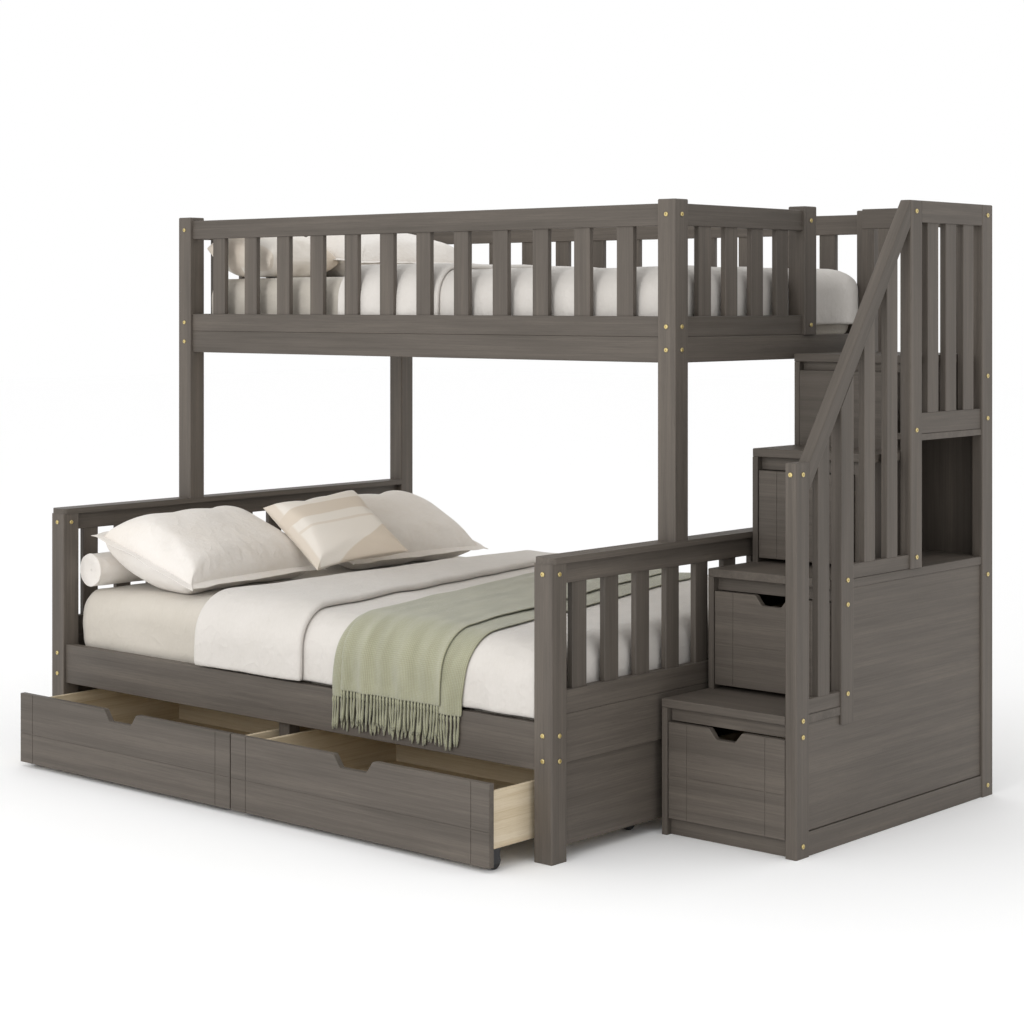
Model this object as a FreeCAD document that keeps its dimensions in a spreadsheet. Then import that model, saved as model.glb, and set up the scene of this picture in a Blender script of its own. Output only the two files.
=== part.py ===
"""Bunk bed: a single bed over a wide bed, with a storage staircase at its foot end.

Millimetres, +Z up, +X towards the foot end and the staircase, -Y towards the front.
The design frame starts at the floor, at the front corner of the head end.
origin_x and origin_y move every piece so that the model's origin is the middle of its footprint.
"""
import FreeCAD, Part
import os
import re

import Sketcher

SIZES = {
    # frame of the bed
    "bed_length": 2120,
    "bed_width": 1620,
    "upper_width": 1090,
    "post_side": 62,
    "post_round": 4,
    "board_round": 2.5,
    "rail_thick": 28,
    "rail_recess": 10,
    "slat_wide": 60,
    "slat_thick": 18,
    # lower bed
    "lower_height": 798,
    "cap_thick": 17,
    "cap_lip": 2,
    "cap_round": 20,
    "end_top_high": 54,
    "end_low_high": 62,
    "end_low_base": 384,
    "end_board_high": 128,
    "end_slat_start": 40,
    "end_slats": 11,
    "side_rail_base": 238,
    "side_rail_high": 124,
    "bay_panel_thick": 12,
    "bay_panel_base": 36,
    "bay_panel_set": 22,
    # decks of slats
    "cleat_side": 30,
    "cleat_rise": 12,
    "deck_slats": 14,
    "deck_gap": 4,
    "deck_slat_wide": 72,
    "deck_slat_thick": 20,
    "beam_wide": 60,
    "leg_side": 44,
    # upper bed
    "upper_height": 1752,
    "upper_rail_base": 1294,
    "upper_rail_high": 72,
    "upper_cleat_rise": 2,
    "guard_low_high": 58,
    "guard_top_high": 62,
    "guard_top_drop": 12,
    "side_guard_slats": 12,
    "head_guard_slats": 7,
    "foot_guard_slats": 4,
    "entry_post_y": 1177,
    # staircase
    "stair_gap": 7,
    "stair_width": 442,
    "stair_front": 460,
    "stair_back": 1500,
    "going": 216,
    "tread_one": 374,
    "tread_two": 712,
    "tread_three": 1040,
    "landing": 1311,
    "tread_thick": 24,
    "tread_round": 3,
    "tread_gap": 3,
    "panel_round": 1.2,
    "panel_thick": 18,
    "newel_thick": 36,
    "newel_deep": 62,
    "front_newel_top": 1041,
    "top_newel_set": 74,
    "stile_set": 2,
    "stile_foot": 325,
    "panel_recess": 8,
    "skirt_high": 64,
    "skirt_line": 2,
    "plinth_high": 44,
    "plinth_set": 20,
    "front_rail_set": 24,
    "fixed_front_gap": 25,
    "inner_set": 89,
    "tread_side_set": 4,
    "handrail_thick": 34,
    "handrail_drop": 78,
    "baluster_wide": 56,
    "baluster_thick": 20,
    "baluster_set": 6,
    "foot_rail_high": 40,
    "cubby_ceiling": 1071,
    "landing_guard_slats": 3,
    "landing_foot_high": 60,
    "back_guard_slats": 3,
    # drawers in the steps
    "step_front_thick": 18,
    "step_front_gap": 2,
    "step_front_set": 3,
    "step_front_low": 47,
    "step_front_rise": 12,
    "step_front_drop": 39,
    "step_box_inset": 16,
    "step_box_rise": 26,
    "step_box_high": 170,
    "step_box_deep": 480,
    "step_box_shallow": 140,
    "step_notch_top": 108,
    "step_notch_foot": 62,
    "step_notch_deep": 28,
    "runner_high": 16,
    "runner_lap": 12,
    "runner_gap": 0.6,
    "runner_set": 66,
    # drawers under the bed
    "bay_gap": 4,
    "bay_front_low": 14,
    "bay_front_drop": 8,
    "bay_face_y": 6,
    "bay_rest_open": 176,
    "bay_box_low": 56,
    "bay_box_high": 150,
    "bay_box_deep": 620,
    "bay_box_outer": 12,
    "bay_box_centre": 36,
    "bay_notch_top": 150,
    "bay_notch_foot": 102,
    "bay_notch_deep": 34,
    "bay_caster_set": 28,
    "bay_caster_side": 15,
    "box_side_thick": 12,
    "box_floor_thick": 6,
    # details of the drawer fronts
    "notch_round": 10,
    "front_round": 2,
    "groove_wide": 2.4,
    "groove_deep": 1.2,
    "groove_inset": 62,
    # casters
    "wheel_radius": 22,
    "wheel_wide": 16,
    "wheel_round": 3,
    "axle_radius": 3,
    "axle_clearance": 0.4,
    "fork_thick": 2.5,
    "fork_deep": 26,
    "fork_gap": 1.5,
    # bolt heads
    "bolt_radius": 6.5,
    "bolt_high": 3,
    "bolt_round": 1.8,
    "socket_radius": 2.6,
    "socket_floor": 1.2,
    "bolt_pair": 66,
    "bolt_inset": 31,
    # bedding
    "lower_mattress_side": 48,
    "lower_mattress_high": 245,
    "upper_mattress_side": 62.5,
    "upper_mattress_high": 204,
    "mattress_round": 30,
    "duvet_thick": 24,
    "duvet_gap": 3,
    "duvet_start": 700,
    "duvet_fall_thick": 16,
    "duvet_fall_gap": 6,
    "lower_fall": 165,
    "upper_fall": 190,
    "duvet_side": 12,
    "duvet_round": 14,
    "upper_duvet_start": 760,
    "throw_start": 1345,
    "throw_wide": 470,
    "throw_thick": 12,
    "throw_gap": 2,
    "throw_foot": 262,
    "throw_back": 1480,
    "throw_skew": 0.22,
    "throw_flare": 40,
    "pillow_long": 660,
    "pillow_deep": 450,
    "pillow_thick": 104,
    "pillow_tilt": 16,
    "pillow_round": 40,
    "pillow_reach": 474,
    "pillow_side": 90,
    "pillow_space": 90,
    "bolster_radius": 55,
    "bolster_long": 900,
    "bolster_inset": 49,
    "cushion_side": 360,
    "cushion_thick": 92,
    "cushion_lean": 30,
    "cushion_swing": 22,
    "cushion_reach": 622,
    "cushion_y": 575,
    "upper_lean": 5,
    "upper_pillow_reach": 454,
    "upper_pillow_deep": 430,
    "upper_pillow_thick": 112,
    "upper_cushion_side": 300,
    "upper_cushion_thick": 100,
    "upper_cushion_reach": 334,
}

PLACES = {
    # bed
    "stair_left": "bed_length + stair_gap",
    "stair_right": "stair_left + stair_width",
    "origin_x": "(stair_right + bolt_high - cap_lip) / 2",
    "origin_y": "(bed_width + bay_face_y - bay_rest_open) / 2",
    "foot_x": "bed_length - post_side",
    "back_y": "bed_width - post_side",
    "upper_y": "bed_width - upper_width",
    "inner_long": "bed_length - 2 * post_side",
    "inner_wide": "bed_width - 2 * post_side",
    "upper_inner_wide": "upper_width - 2 * post_side",
    "cap_base": "lower_height - cap_thick",
    "rail_in": "rail_recess + rail_thick",
    "slat_in": "rail_recess + (rail_thick - slat_thick) / 2",
    "end_board_base": "end_low_base - end_board_high",
    "end_slat_base": "end_low_base + end_low_high",
    "end_slat_high": "cap_base - end_top_high - end_slat_base",
    "end_slat_pitch": "(inner_wide - 2 * end_slat_start - slat_wide) / (end_slats - 1)",
    "side_rail_top": "side_rail_base + side_rail_high",
    "lower_cleat_base": "side_rail_base + cleat_rise",
    "lower_slat_base": "lower_cleat_base + cleat_side",
    "lower_deck": "lower_slat_base + deck_slat_thick",
    "deck_start": "post_side + deck_gap",
    "deck_long": "bed_length - 2 * deck_start",
    "deck_pitch": "(deck_long - deck_slat_wide) / (deck_slats - 1)",
    "upper_cleat_base": "upper_rail_base + upper_cleat_rise",
    "upper_slat_base": "upper_cleat_base + cleat_side",
    "upper_deck": "upper_slat_base + deck_slat_thick",
    "upper_rail_top": "upper_rail_base + upper_rail_high",
    "guard_slat_base": "upper_rail_top + guard_low_high",
    "guard_top_base": "upper_height - guard_top_drop - guard_top_high",
    "guard_slat_high": "guard_top_base - guard_slat_base",
    "entry_post_back": "entry_post_y + post_side",
    "foot_guard_long": "entry_post_y - upper_y - post_side",
    "side_guard_gap": "(inner_long - side_guard_slats * slat_wide) / (side_guard_slats + 1)",
    "head_guard_gap": "(upper_inner_wide - head_guard_slats * slat_wide) / (head_guard_slats + 1)",
    "foot_guard_gap": "(foot_guard_long - foot_guard_slats * slat_wide) / (foot_guard_slats + 1)",
    # staircase
    "stair_in": "stair_left + panel_thick",
    "newel_in": "stair_right - newel_thick",
    "newel_back": "stair_front + newel_deep",
    "front_two": "stair_front + going",
    "stile_front": "front_two + stile_set",
    "front_three": "stair_front + 2 * going",
    "front_four": "stair_front + 3 * going",
    "top_newel_y": "front_four - top_newel_set",
    "back_in": "stair_back - panel_thick",
    "back_post_y": "stair_back - newel_deep",
    "tread_right": "stair_right - tread_side_set",
    "side_panel_x": "stair_right - panel_recess - panel_thick",
    "inner_panel_right": "stair_right - inner_set",
    "inner_panel_x": "inner_panel_right - panel_thick",
    "stile_back": "stile_front + newel_deep",
    "top_newel_back": "top_newel_y + newel_deep",
    "under_one": "tread_one - tread_thick",
    "under_two": "tread_two - tread_thick",
    "under_three": "tread_three - tread_thick",
    "under_landing": "landing - tread_thick",
    "cubby_top": "cubby_ceiling + panel_thick",
    "cubby_wall_y": "front_four + panel_thick",
    "baluster_x": "stair_right - baluster_set - baluster_thick",
    "short_tread_right": "baluster_x - tread_gap",
    "handrail_x": "stair_right - (newel_thick + handrail_thick) / 2",
    "handrail_slope": "(upper_height - front_newel_top) / (top_newel_y - newel_back)",
    "handrail_low": "front_newel_top - handrail_drop",
    "low_baluster_y": "(newel_back + stile_front - baluster_wide) / 2",
    "baluster_gap": "(top_newel_y - stile_back - 2 * baluster_wide) / 3",
    "landing_guard_long": "back_post_y - top_newel_back",
    "landing_guard_gap": "(landing_guard_long - landing_guard_slats * slat_wide) / (landing_guard_slats + 1)",
    "landing_slat_base": "cubby_top + landing_foot_high",
    "stair_rail_base": "upper_height - guard_top_high",
    "back_guard_long": "newel_in - stair_left",
    "back_guard_gap": "(back_guard_long - back_guard_slats * slat_wide) / (back_guard_slats + 1)",
    # drawers in the steps
    "step_front_x": "stair_in + step_front_gap",
    "step_front_wide": "newel_in - step_front_gap - step_front_x",
    "top_step_front_wide": "inner_panel_x - step_front_gap - step_front_x",
    # drawers under the bed
    "bay_front_wide": "(inner_long - 3 * bay_gap) / 2",
    "bay_front_high": "side_rail_base - bay_front_drop - bay_front_low",
    "left_front_x": "post_side + bay_gap",
    "right_front_x": "left_front_x + bay_front_wide + bay_gap",
    "bay_open_y": "bay_face_y - bay_rest_open",
    "bay_box_wide": "bay_front_wide - bay_box_outer - bay_box_centre",
    "bay_box_y": "bay_open_y + step_front_thick",
    # bedding
    "mattress_end": "post_side + deck_gap",
    "mattress_long": "bed_length - 2 * mattress_end",
    "lower_mattress_wide": "bed_width - 2 * lower_mattress_side",
    "lower_mattress_top": "lower_deck + lower_mattress_high",
    "upper_mattress_y": "upper_y + upper_mattress_side",
    "upper_mattress_wide": "upper_width - 2 * upper_mattress_side",
    "bolster_x": "mattress_end + bolster_inset",
    "pillow_front": "mattress_end + pillow_reach",
    "cushion_front": "mattress_end + cushion_reach",
    "upper_pillow_front": "mattress_end + upper_pillow_reach",
    "upper_cushion_front": "mattress_end + upper_cushion_reach",
    "bolster_side": "post_side + deck_gap",
    "upper_mattress_top": "upper_deck + upper_mattress_high",
    "duvet_top": "lower_mattress_top + duvet_thick",
    "duvet_end": "foot_x - duvet_gap",
}

BOX_EDGES = {"x": (9, 10, 11, 12), "y": (2, 4, 6, 8), "z": (1, 3, 5, 7)}
TOP_EDGES = (2, 6, 10, 12)
RIMS = (2, 3)
FAR_RIM = (3,)
ALL_EDGES = tuple(range(1, 13))
FRONT_CORNERS = (1, 5)

doc = FreeCAD.newDocument("bunk_bed")
scratch = doc.addObject("Spreadsheet::Sheet", "Scratch")
sheets = {}
nodes = []


def fill_sheet(title, cells):
    """One row for each name: the name itself, then its number or its formula."""
    sheet = doc.addObject("Spreadsheet::Sheet", title)
    for row, (alias, content) in enumerate(cells.items(), start=1):
        text = f"={tied(content)}" if isinstance(content, str) else str(content)
        sheet.set(f"A{row}", alias)
        sheet.set(f"B{row}", text)
        sheet.setAlias(f"B{row}", alias)
        sheets[alias] = title
    doc.recompute()
    return sheet


def tied(text):
    """The text with each size's name written as a reference to its sheet."""
    def reference(word):
        name = word.group()
        return f"{sheets[name]}.{name}" if name in sheets else name
    return re.sub(r"[a-z_]+", reference, text)


def bind(item, **expressions):
    """Ties each property, given as Length="..." or x="..." for a place, to the sheets."""
    for name, text in expressions.items():
        path = f"Placement.Base.{name}" if name in ("x", "y", "z") else name
        item.setExpression(path, tied(text))


def settle(item, place):
    """Puts a piece at a place of the design frame."""
    place_x, place_y, place_z = place
    bind(item, x=f"({place_x}) - origin_x", y=f"({place_y}) - origin_y", z=place_z)


def number(alias):
    return float(doc.getObject(sheets[alias]).get(alias))


def node(item, label):
    """Names a finished sub-part, which then becomes a file of its own."""
    item.Label = label
    nodes.append(item)
    return item


def rounded(item, edges, radius):
    """Rounds numbered edges of a piece by a radius from the sheet."""
    fillet = doc.addObject("Part::Fillet", f"{item.Name}_rounded")
    fillet.Base = item
    fillet.Edges = [(edge, number(radius), number(radius)) for edge in edges]
    return fillet


def block(name, size, place, turn=None):
    """A plain box, turned about its own corner when a turn is given."""
    box = doc.addObject("Part::Box", f"{name}_block")
    if turn is not None:
        box.Placement = FreeCAD.Placement(FreeCAD.Vector(), turn)
    bind(box, Length=size[0], Width=size[1], Height=size[2])
    settle(box, place)
    return box


def eased(body, radius, chosen=lambda tangent: True):
    """Rounds the straight edges of a padded piece whose direction is one of the chosen ones."""
    pad = body.Tip
    doc.recompute()
    edges = [
        f"Edge{index}" for index, edge in enumerate(pad.Shape.Edges, start=1)
        if chosen(edge.tangentAt(edge.FirstParameter))
    ]
    ease = body.newObject("PartDesign::Fillet", f"{body.Name}_ease")
    ease.Base = (pad, edges)
    bind(ease, Radius=radius)
    return body


def board(name, size, place, along, radius="board_round", more=()):
    """A sawn board with its long edges eased, and any further edges that are named."""
    edges = ALL_EDGES if along == "all" else BOX_EDGES[along] + tuple(more)
    return rounded(block(name, size, place), edges, radius)


def group(label, pieces):
    """Separate identical or matching solids that share one node."""
    compound = doc.addObject("Part::Compound", f"{label}_set")
    compound.Links = pieces
    return node(compound, label)


def plane_of(body, role):
    return next(item for item in body.Origin.OriginFeatures if item.Role == role)


def outline_body(name, plane, points, thick, place, reverse=False):
    """A flat piece: a closed outline of straight lines on a plane, made thick.

    Each point's two coordinates are expressions, measured in the plane from the body's origin.
    """
    body = doc.addObject("PartDesign::Body", f"{name}_body")
    sketch = body.newObject("Sketcher::SketchObject", f"{name}_outline")
    sketch.AttachmentSupport = [(plane_of(body, plane), "")]
    sketch.MapMode = "FlatFace"
    count = len(points)
    start = [FreeCAD.Vector(number_of(across), number_of(up), 0) for across, up in points]
    for index in range(count):
        sketch.addGeometry(Part.LineSegment(start[index], start[(index + 1) % count]), False)
    for index in range(count):
        sketch.addConstraint(Sketcher.Constraint("Coincident", index, 2, (index + 1) % count, 1))
    for index, (across, up) in enumerate(points):
        for kind, text, value in (("DistanceX", across, start[index].x),
                                  ("DistanceY", up, start[index].y)):
            row = sketch.addConstraint(Sketcher.Constraint(kind, -1, 1, index, 1, value))
            sketch.setExpression(f"Constraints[{row}]", tied(text))
    pad = body.newObject("PartDesign::Pad", f"{name}_pad")
    pad.Profile = sketch
    pad.Reversed = reverse
    bind(pad, Length=thick)
    sketch.Visibility = False
    settle(body, place)
    return body


def number_of(text):
    """The present value of an expression, worked out in a scratch cell that nothing else uses."""
    scratch.set("A1", f"={tied(text)}")
    scratch.recompute()
    return float(scratch.get("A1"))


def lower_posts():
    """Short front posts under the caps, and back posts that carry both beds."""
    short = ("post_side", "post_side", "cap_base")
    tall = ("post_side", "post_side", "upper_height")
    for label, size, x, y, more in (
        ("head_front_post", short, "0", "0", ()),
        ("foot_front_post", short, "foot_x", "0", ()),
        ("head_back_post", tall, "0", "back_y", TOP_EDGES),
        ("foot_back_post", tall, "foot_x", "back_y", TOP_EDGES),
    ):
        node(board(label, size, (x, y, "0"), "z", "post_round", more), label)


def upper_posts():
    """Front posts of the upper bed, which stand on the caps, and the post beside the entry."""
    standing = ("post_side", "post_side", "upper_height - lower_height")
    entry = ("post_side", "post_side", "upper_height - upper_rail_top")
    for label, size, place in (
        ("upper_head_post", standing, ("0", "upper_y", "lower_height")),
        ("upper_foot_post", standing, ("foot_x", "upper_y", "lower_height")),
        ("entry_post", entry, ("foot_x", "entry_post_y", "upper_rail_top")),
    ):
        node(board(label, size, place, "z", "post_round", TOP_EDGES), label)


def end_frames():
    """Headboard and footboard of the lower bed: cap, rails, wide board and slats."""
    caps = []
    rails = []
    slats = []
    for end, outer in (("head", "0"), ("foot", "foot_x")):
        size = ("post_side + 2 * cap_lip", "back_y + cap_lip", "cap_thick")
        cap = block(f"{end}_cap", size, (f"{outer} - cap_lip", "0 - cap_lip", "cap_base"))
        caps.append(rounded(cap, FRONT_CORNERS, "cap_round"))
        rail_x = "rail_recess" if end == "head" else "bed_length - rail_in"
        slat_x = "slat_in" if end == "head" else "bed_length - slat_in - slat_thick"
        for part, high, base in (
            ("top_rail", "end_top_high", "cap_base - end_top_high"),
            ("low_rail", "end_low_high", "end_low_base"),
            ("wide_board", "end_board_high", "end_board_base"),
        ):
            size = ("rail_thick", "inner_wide", high)
            rails.append(board(f"{end}_{part}", size, (rail_x, "post_side", base), "y"))
        for step in range(int(number("end_slats"))):
            place = (slat_x, f"post_side + end_slat_start + {step} * end_slat_pitch", "end_slat_base")
            size = ("slat_thick", "slat_wide", "end_slat_high")
            slats.append(board(f"{end}_slat_{step}", size, place, "z"))
    group("end_caps", caps)
    group("end_rails", rails)
    group("end_slats_lower", slats)


def lower_rails():
    """Side rails, and the thin panels that close the ends of the drawer bay."""
    size = ("inner_long", "rail_thick", "side_rail_high")
    front = board("lower_front", size, ("post_side", "rail_recess", "side_rail_base"), "x")
    back = board("lower_back", size, ("post_side", "bed_width - rail_in", "side_rail_base"), "x")
    group("lower_side_rails", [front, back])
    size = ("bay_panel_thick", "inner_wide", "end_board_base - bay_panel_base")
    foot_x = "bed_length - bay_panel_set - bay_panel_thick"
    head = block("head_bay", size, ("bay_panel_set", "post_side", "bay_panel_base"))
    foot = block("foot_bay", size, (foot_x, "post_side", "bay_panel_base"))
    group("bay_end_panels", [head, foot])


def decks():
    """Cleats along the rails, the slats that lie on them, and the middle support."""
    cleats = []
    for level, front, base in (
        ("lower", "rail_in", "lower_cleat_base"),
        ("upper", "upper_y + rail_in", "upper_cleat_base"),
    ):
        size = ("inner_long", "cleat_side", "cleat_side")
        back = "bed_width - rail_in - cleat_side"
        cleats.append(block(f"{level}_front_cleat", size, ("post_side", front, base)))
        cleats.append(block(f"{level}_back_cleat", size, ("post_side", back, base)))
        slats = []
        for step in range(int(number("deck_slats"))):
            size = ("deck_slat_wide", f"bed_width - rail_in - ({front})", "deck_slat_thick")
            place = (f"deck_start + {step} * deck_pitch", front, f"{level}_slat_base")
            slats.append(board(f"{level}_deck_slat_{step}", size, place, "y"))
        group(f"{level}_bed_slats", slats)
    group("slat_cleats", cleats)
    middle = "(bed_width - beam_wide) / 2"
    size = ("bed_length - 2 * rail_in", "beam_wide", "cleat_side")
    beam = block("middle_beam", size, ("rail_in", middle, "lower_cleat_base"))
    legs = [beam]
    leg_x = "(bed_length - leg_side) / 2"
    size = ("leg_side", "leg_side", "lower_cleat_base")
    for spot, y in (
        ("front", "rail_in"),
        ("middle", "(bed_width - leg_side) / 2"),
        ("back", "bed_width - rail_in - leg_side"),
    ):
        legs.append(board(f"{spot}_leg", size, (leg_x, y, "0"), "z"))
    group("middle_support", legs)


def upper_rails():
    """Bed rails of the upper bed. The one at the foot end runs on under the entry."""
    size = ("inner_long", "rail_thick", "upper_rail_high")
    front = ("post_side", "upper_y + rail_recess", "upper_rail_base")
    back = ("post_side", "bed_width - rail_in", "upper_rail_base")
    rails = [board("upper_front", size, front, "x"), board("upper_back", size, back, "x")]
    size = ("rail_thick", "upper_inner_wide", "upper_rail_high")
    head = ("rail_recess", "upper_y + post_side", "upper_rail_base")
    foot = ("bed_length - rail_in", "upper_y + post_side", "upper_rail_base")
    rails.append(board("upper_head", size, head, "y"))
    rails.append(board("upper_foot", size, foot, "y"))
    group("upper_bed_rails", rails)


def guards():
    """Guard rails round the upper bed, with evenly spaced slats between them."""
    levels = (("low", "guard_low_high", "upper_rail_top"), ("top", "guard_top_high", "guard_top_base"))
    rails = []
    for level, high, base in levels:
        for side, y in (("front", "upper_y + rail_recess"), ("back", "bed_width - rail_in")):
            size = ("inner_long", "rail_thick", high)
            rails.append(board(f"{side}_guard_{level}", size, ("post_side", y, base), "x"))
        for side, x, long in (
            ("head", "rail_recess", "upper_inner_wide"),
            ("foot", "bed_length - rail_in", "foot_guard_long"),
        ):
            size = ("rail_thick", long, high)
            rails.append(board(f"{side}_guard_{level}", size, (x, "upper_y + post_side", base), "y"))
    group("guard_rails", rails)
    along_bed = ("slat_wide", "slat_thick", "guard_slat_high")
    slats = []
    for side, y in (("front", "upper_y + slat_in"), ("back", "bed_width - slat_in - slat_thick")):
        for step in range(int(number("side_guard_slats"))):
            x = f"post_side + side_guard_gap + {step} * (slat_wide + side_guard_gap)"
            place = (x, y, "guard_slat_base")
            slats.append(board(f"{side}_guard_slat_{step}", along_bed, place, "z"))
    group("side_guard_slats", slats)
    across_bed = ("slat_thick", "slat_wide", "guard_slat_high")
    slats = []
    for side, x in (("head", "slat_in"), ("foot", "bed_length - slat_in - slat_thick")):
        for step in range(int(number(f"{side}_guard_slats"))):
            gap = f"{side}_guard_gap"
            place = (x, f"upper_y + post_side + {gap} + {step} * (slat_wide + {gap})", "guard_slat_base")
            slats.append(board(f"{side}_guard_slat_{step}", across_bed, place, "z"))
    group("end_guard_slats", slats)


def stair_sides():
    """Stepped side towards the bed, the outer side with its skirt, the back and the inner panels."""
    left = [
        ("stair_front", "0"),
        ("back_in", "0"),
        ("back_in", "under_landing"),
        ("front_four", "under_landing"),
        ("front_four", "under_three"),
        ("front_three", "under_three"),
        ("front_three", "under_two"),
        ("front_two", "under_two"),
        ("front_two", "under_one"),
        ("stair_front", "under_one"),
    ]
    body = outline_body("stair_left", "YZ_Plane", left, "panel_thick", ("stair_left", "0", "0"))
    node(eased(body, "panel_round", lambda tangent: abs(tangent.x) < 0.5), "stair_left_panel")
    right = [
        ("newel_back", "skirt_high + skirt_line"),
        ("back_post_y", "skirt_high + skirt_line"),
        ("back_post_y", "under_two"),
        ("stile_back", "under_two"),
        ("stile_back", "stile_foot"),
        ("stile_front", "stile_foot"),
        ("stile_front", "under_one"),
        ("newel_back", "under_one"),
    ]
    body = outline_body("stair_right", "YZ_Plane", right, "panel_thick", ("side_panel_x", "0", "0"))
    size = ("panel_thick + panel_recess / 2", "back_post_y - newel_back", "skirt_high")
    skirt = board("stair_skirt", size, ("side_panel_x", "newel_back", "0"), "y")
    face_edges = eased(body, "panel_round", lambda tangent: abs(tangent.x) < 0.5)
    group("stair_right_panel", [face_edges, skirt])
    size = ("newel_in - stair_left", "panel_thick", "under_landing")
    node(block("stair_back", size, ("stair_left", "back_in", "0")), "stair_back_panel")
    size = ("panel_thick", "cubby_wall_y - front_three - step_front_thick - step_front_set",
            "under_three - tread_two")
    place = ("inner_panel_x", "front_three + step_front_thick + step_front_set", "tread_two")
    low = block("inner_low", size, place)
    size = ("panel_thick", "back_in - front_four - step_front_thick", "under_landing - cubby_top")
    high = block("inner_high", size, ("inner_panel_x", "front_four + step_front_thick", "cubby_top"))
    group("stair_inner_panels", [low, high])


def treads():
    """Three treads and the landing, cut round the posts that pass them."""
    first = [
        ("stair_left", "stair_front"),
        ("newel_in", "stair_front"),
        ("newel_in", "newel_back"),
        ("tread_right", "newel_back"),
        ("tread_right", "stile_front"),
        ("newel_in", "stile_front"),
        ("newel_in", "stile_back"),
        ("stair_in", "stile_back"),
        ("stair_in", "front_two"),
        ("stair_left", "front_two"),
    ]
    second = [
        ("stair_left", "front_two"),
        ("newel_in", "front_two"),
        ("newel_in", "stile_back"),
        ("tread_right", "stile_back"),
        ("tread_right", "back_post_y"),
        ("newel_in", "back_post_y"),
        ("newel_in", "back_in"),
        ("stair_in", "back_in"),
        ("stair_in", "front_three"),
        ("stair_left", "front_three"),
    ]
    top = [
        ("stair_left", "front_four"),
        ("short_tread_right", "front_four"),
        ("short_tread_right", "back_post_y"),
        ("newel_in", "back_post_y"),
        ("newel_in", "stair_back"),
        ("stair_left", "stair_back"),
    ]
    boards = []
    for name, outline, base in (
        ("tread_one", first, "under_one"),
        ("tread_two", second, "under_two"),
        ("landing_board", top, "under_landing"),
    ):
        body = outline_body(name, "XY_Plane", outline, "tread_thick", ("0", "0", base))
        boards.append(eased(body, "tread_round", lambda tangent: abs(tangent.z) < 0.5))
    size = ("newel_in - stair_left", "going", "tread_thick")
    place = ("stair_left", "front_three", "under_three")
    boards.append(board("tread_three", size, place, "all", "tread_round"))
    group("stair_treads", boards)


def stair_front():
    """Recessed rails over the drawers, the plinth, and the fixed front under the landing."""
    wide = "newel_in - stair_in"
    narrow = "inner_panel_x - stair_in"
    high = "step_front_drop - step_front_gap"
    rails = []
    for name, long, y, top in (
        ("rail_one", wide, "stair_front", "under_one"),
        ("rail_two", wide, "front_two", "under_two"),
        ("rail_three", narrow, "front_three", "under_three"),
    ):
        place = ("stair_in", f"{y} + front_rail_set", f"{top} - ({high})")
        rails.append(block(name, (long, "panel_thick", high), place))
    place = ("stair_in", "stair_front + plinth_set", "0")
    rails.append(block("plinth", (wide, "panel_thick", "plinth_high"), place))
    place = ("stair_in", "front_four + front_rail_set", "under_landing - fixed_front_gap")
    rails.append(block("rail_four", (narrow, "panel_thick", "fixed_front_gap"), place))
    group("stair_front_rails", rails)
    size = ("inner_panel_right - stair_in", "panel_thick", "under_landing - fixed_front_gap - under_three")
    node(board("fixed", size, ("stair_in", "front_four", "under_three"), "all"), "stair_fixed_front")


def cubby():
    """Ceiling and front wall of the open cubby, whose floor is the second tread's board."""
    ceiling = [
        ("stair_in", "cubby_wall_y"),
        ("inner_panel_right", "cubby_wall_y"),
        ("inner_panel_right", "top_newel_back"),
        ("tread_right", "top_newel_back"),
        ("tread_right", "back_post_y"),
        ("newel_in", "back_post_y"),
        ("newel_in", "back_in"),
        ("stair_in", "back_in"),
    ]
    top = outline_body("cubby_top", "XY_Plane", ceiling, "panel_thick", ("0", "0", "cubby_ceiling"))
    eased(top, "panel_round", lambda tangent: abs(tangent.z) < 0.5)
    size = ("newel_in - stair_in", "panel_thick", "cubby_ceiling - tread_two")
    wall = block("cubby_wall", size, ("stair_in", "cubby_wall_y", "tread_two"))
    group("cubby_boards", [top, wall])


def newels():
    """Posts of the staircase: at the front, beside the landing and at the back."""
    for label, y, base, top in (
        ("front_newel", "stair_front", "0", "front_newel_top"),
        ("top_newel", "top_newel_y", "tread_two", "upper_height"),
        ("stair_back_post", "back_post_y", "0", "upper_height"),
    ):
        size = ("newel_thick", "newel_deep", f"{top} - ({base})")
        node(board(label, size, ("newel_in", y, base), "z", "post_round", TOP_EDGES), label)


def handrail_under(y):
    """Height of the handrail's underside at a depth."""
    return f"(handrail_low + ({y} - newel_back) * handrail_slope)"


def handrail():
    """Sloping handrail from the front newel to the top of the second one."""
    points = [
        ("newel_back", "handrail_low"),
        ("top_newel_y", "upper_height - handrail_drop"),
        ("top_newel_y", "upper_height"),
        ("newel_back", "front_newel_top"),
    ]
    body = outline_body("handrail", "YZ_Plane", points, "handrail_thick", ("handrail_x", "0", "0"))
    node(eased(body, "post_round", lambda tangent: abs(tangent.y) > 0.1), "stair_handrail")


def sloped_baluster(name, y, wide, base, thick, x):
    """An upright whose top end is cut to the slope of the handrail."""
    far = f"({y} + {wide})"
    points = [(y, base), (far, base), (far, handrail_under(far)), (y, handrail_under(y))]
    body = outline_body(name, "YZ_Plane", points, thick, (x, "0", "0"))
    return eased(body, "board_round", lambda tangent: abs(tangent.z) > 0.99)


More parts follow.
